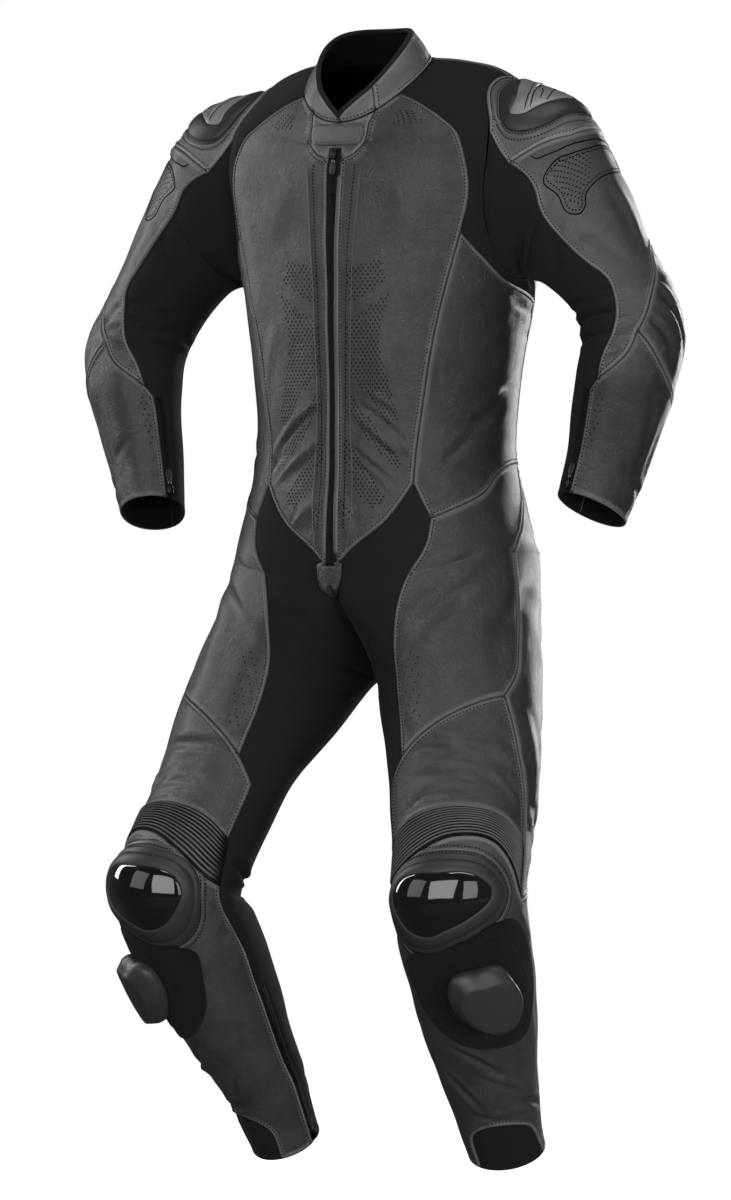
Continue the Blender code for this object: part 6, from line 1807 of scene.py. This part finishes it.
# Outlines are (across, along) in mm, levels are (out, inset).
SLIDER = stacked(closed_line([(-3.3, -10.5), (-2.2, -13), (2.2, -13), (3.3, -10.5), (2.9, -3), (1.9, -1.4),
                              (-1.9, -1.4), (-2.9, -3)], 40),
                 [(-1.0, 0.4), (-0.6, 0), (1.0, 0), (1.2, 0.7), (2.4, 0.7), (2.6, 0), (4.0, 0), (4.5, 0.5),
                  (4.7, 1.2)])
BRIDGE = bar(1.1, -10.8, -3.0, 24, [(4.0, 0), (5.2, 0.1), (5.7, 0.5), (5.9, 1.0)])
PULL = stacked(closed_line([(-2.2, 3.2), (2.2, 3.2), (3.7, 7), (4.1, 13), (3.2, 17.2), (0, 18.4), (-3.2, 17.2),
                            (-4.1, 13), (-3.7, 7)], 40),
               [(-0.9, 0.5), (-0.6, 0), (0.6, 0), (0.95, 0.4), (0.95, 1.3), (0.6, 1.5)])
RIDGES = [bar(half, at - 0.45, at + 0.45, 20, [(0.3, 0), (1.0, 0), (1.2, 0.2)])
          for at, half in ((8.4, 1.9), (10.4, 2.1), (12.4, 2.2), (14.4, 1.8))]
LIFT = np.array([0, 0, 1.9])   # the pull's hinge is 1.9 mm over the skin
RING, RING_FACES = torus(radius_x=1.7, radius_y=2.1, thick=0.9)
RING = RING + [0, 2.2, 0] + LIFT
PULLS = dict(   # zip: tube, degrees and mm down, and 1 if the pull hangs down the tube, -1 if up
    front_zip=("torso", -90, 158, 1), cuff_zip=("sleeve", -131, 521, -1), calf_zip=("leg", 161.8, 756, -1))
for name, (tube, angle, down, hang) in PULLS.items():
    for end, side in ({"": 1} if name == "front_zip" else {"_left": 1, "_right": -1}).items():
        seat, pull = seat_at(tube, side, angle, down, hang), name + "_pull" + end
        placed_form(name + "_slider" + end, [SLIDER, BRIDGE], seat, METAL, "suit")
        placed_form(pull + "_ring", [(RING, RING_FACES)], seat, STEEL, pull)
        placed_form(pull + "_tab", [(form + LIFT, corners) for form, corners in (PULL, *RIDGES)], seat, RUBBER,
                    pull, pull)

# %% [markdown]
# ## Collar strap and zip shield
# Both are small padded leather pieces, stitched round their edge: the strap closes the collar over the
# zip's head and the shield covers its foot. A padded form is highest in its middle and its edge is thin,
# so its height is the product of two rounded curves.

# %% Padded pieces over the zip's ends
def puffed(name, points, outs, thick, edge, material, node_name):
    """A grid of points raised to a pillow: edge + thick * (1 - |u|^6)(1 - |v|^6), with a flat underside."""
    rows, columns = points.shape[:2]
    u, v = np.linspace(-1, 1, rows)[:, None], np.linspace(-1, 1, columns)[None]
    pillow = ((1 - u**6) * (1 - v**6)) ** 0.6
    top = points + outs * (edge * np.minimum(1, pillow * 6) + thick * pillow)[..., None]
    low = points - outs * 0.3
    quads, count = grid_faces(rows, columns), rows * columns
    i = np.concatenate([np.arange(columns - 1), np.arange(rows - 1) * columns + columns - 1,
                        np.arange(count - 1, count - columns, -1), np.arange(rows - 1, 0, -1) * columns])
    j = np.roll(i, -1)
    faces = np.concatenate([quads, quads[:, ::-1] + count, np.stack([j, i, i + count, j + count], -1)])
    spots = np.concatenate([top.reshape(-1, 3), low.reshape(-1, 3)])
    made = thing(name, spots, facing_out(spots, faces, spots.mean(axis=0)), [material])
    declared(made, "leather", node_name)
    return tree_from(spots, faces)


def inner_line(points):
    """The places round a grid, three rows and columns in from its edge, as a closed line."""
    grid = points[3:-3, 3:-3]
    return np.concatenate([grid[0], grid[1:-1, -1], grid[-1, ::-1], grid[-2:0:-1, 0]])


SMALL_PITCH, SMALL_STITCH = 3.0, (2.3, 0.8, 0.7)


def stitches_on(name, line, tree):
    """Stitches along a closed line on a padded piece."""
    line = np.concatenate([line, line[:1]])
    run = run_of(line)
    even = (np.arange(int(run[-1] / SMALL_PITCH)) + 0.5) * SMALL_PITCH
    spots, outs = onto(read_off(line, run, even), tree)
    ways = unit(np.gradient(spots, axis=0))
    repeated(name, *capsule(*SMALL_STITCH), spots + outs * 0.1,
             np.stack([np.cross(ways, outs), ways, outs], 1), THREAD, "leather")


OVER_STRAP, OVER_SHIELD = 6, 4.5   # mm over the skin from which the stitches look for the padded piece
STRAP = dict(down=[11, 13, 20, 33, 55, 87, 112, 121], half=[5.5, 9.0, 15.0, 16.6, 14.0, 9.8, 7.0, 4.0])
u = np.linspace(-1, 1, 41)[None]
down = np.linspace(11, 121, 33)[:, None] + 0 * u
angle = -90 + np.abs(u) * np.interp(down, STRAP["down"], STRAP["half"])
right_half = np.broadcast_to(u[..., None] < 0, (*down.shape, 3))
spots = np.where(right_half, skin("torso", -1, angle, down), skin("torso", 1, angle, down))
way = np.where(right_half, skin_ways("torso", -1, angle, down)[2], skin_ways("torso", 1, angle, down)[2])
way[:, 20] = unit(way[:, 20] * [0, 1, 1])
strap_tree = puffed("collar_strap", spots + way * 0.5, way, thick=3.4, edge=1.6, material=LEATHER_COLLAR,
                    node_name="collar_tab")
strap_line = inner_line(spots + way * OVER_STRAP)

SHIELD = dict(top=-563.0, tip=-607.0, half_width=17.0, arch=3.0)
share, u = np.linspace(0, 1, 30)[:, None], np.linspace(-1, 1, 31)[None]
x = u * SHIELD["half_width"] * (1 - 0.94 * share**2.6) ** 0.7
z = SHIELD["top"] + (SHIELD["tip"] - SHIELD["top"]) * share - SHIELD["arch"] * u**2 * (1 - share)
hits = [SURFACE.ray_cast(Vector((a, -1000, b)), Vector((0, 1, 0)))[0]
        for a, b in zip(x.ravel(), (z + 0 * x).ravel())]
y = np.array([hit.y if hit else -140.0 for hit in hits]).reshape(x.shape)
y = np.minimum(y, y[:, 15:16] + 0.006 * x**2)
spots = np.stack([x, y - 1.4 * (1 + share), z + 0 * x], -1)
way = unit(np.stack([x / 40, 0 * x - 1, 0 * x - 0.1], -1))
shield_tree = puffed("zip_shield", spots, way, thick=3.0, edge=1.6, material=LEATHER, node_name="zip_end_tab")
stitches_on("strap_stitches", strap_line, strap_tree)
stitches_on("shield_stitches", inner_line(spots + way * OVER_SHIELD), shield_tree)
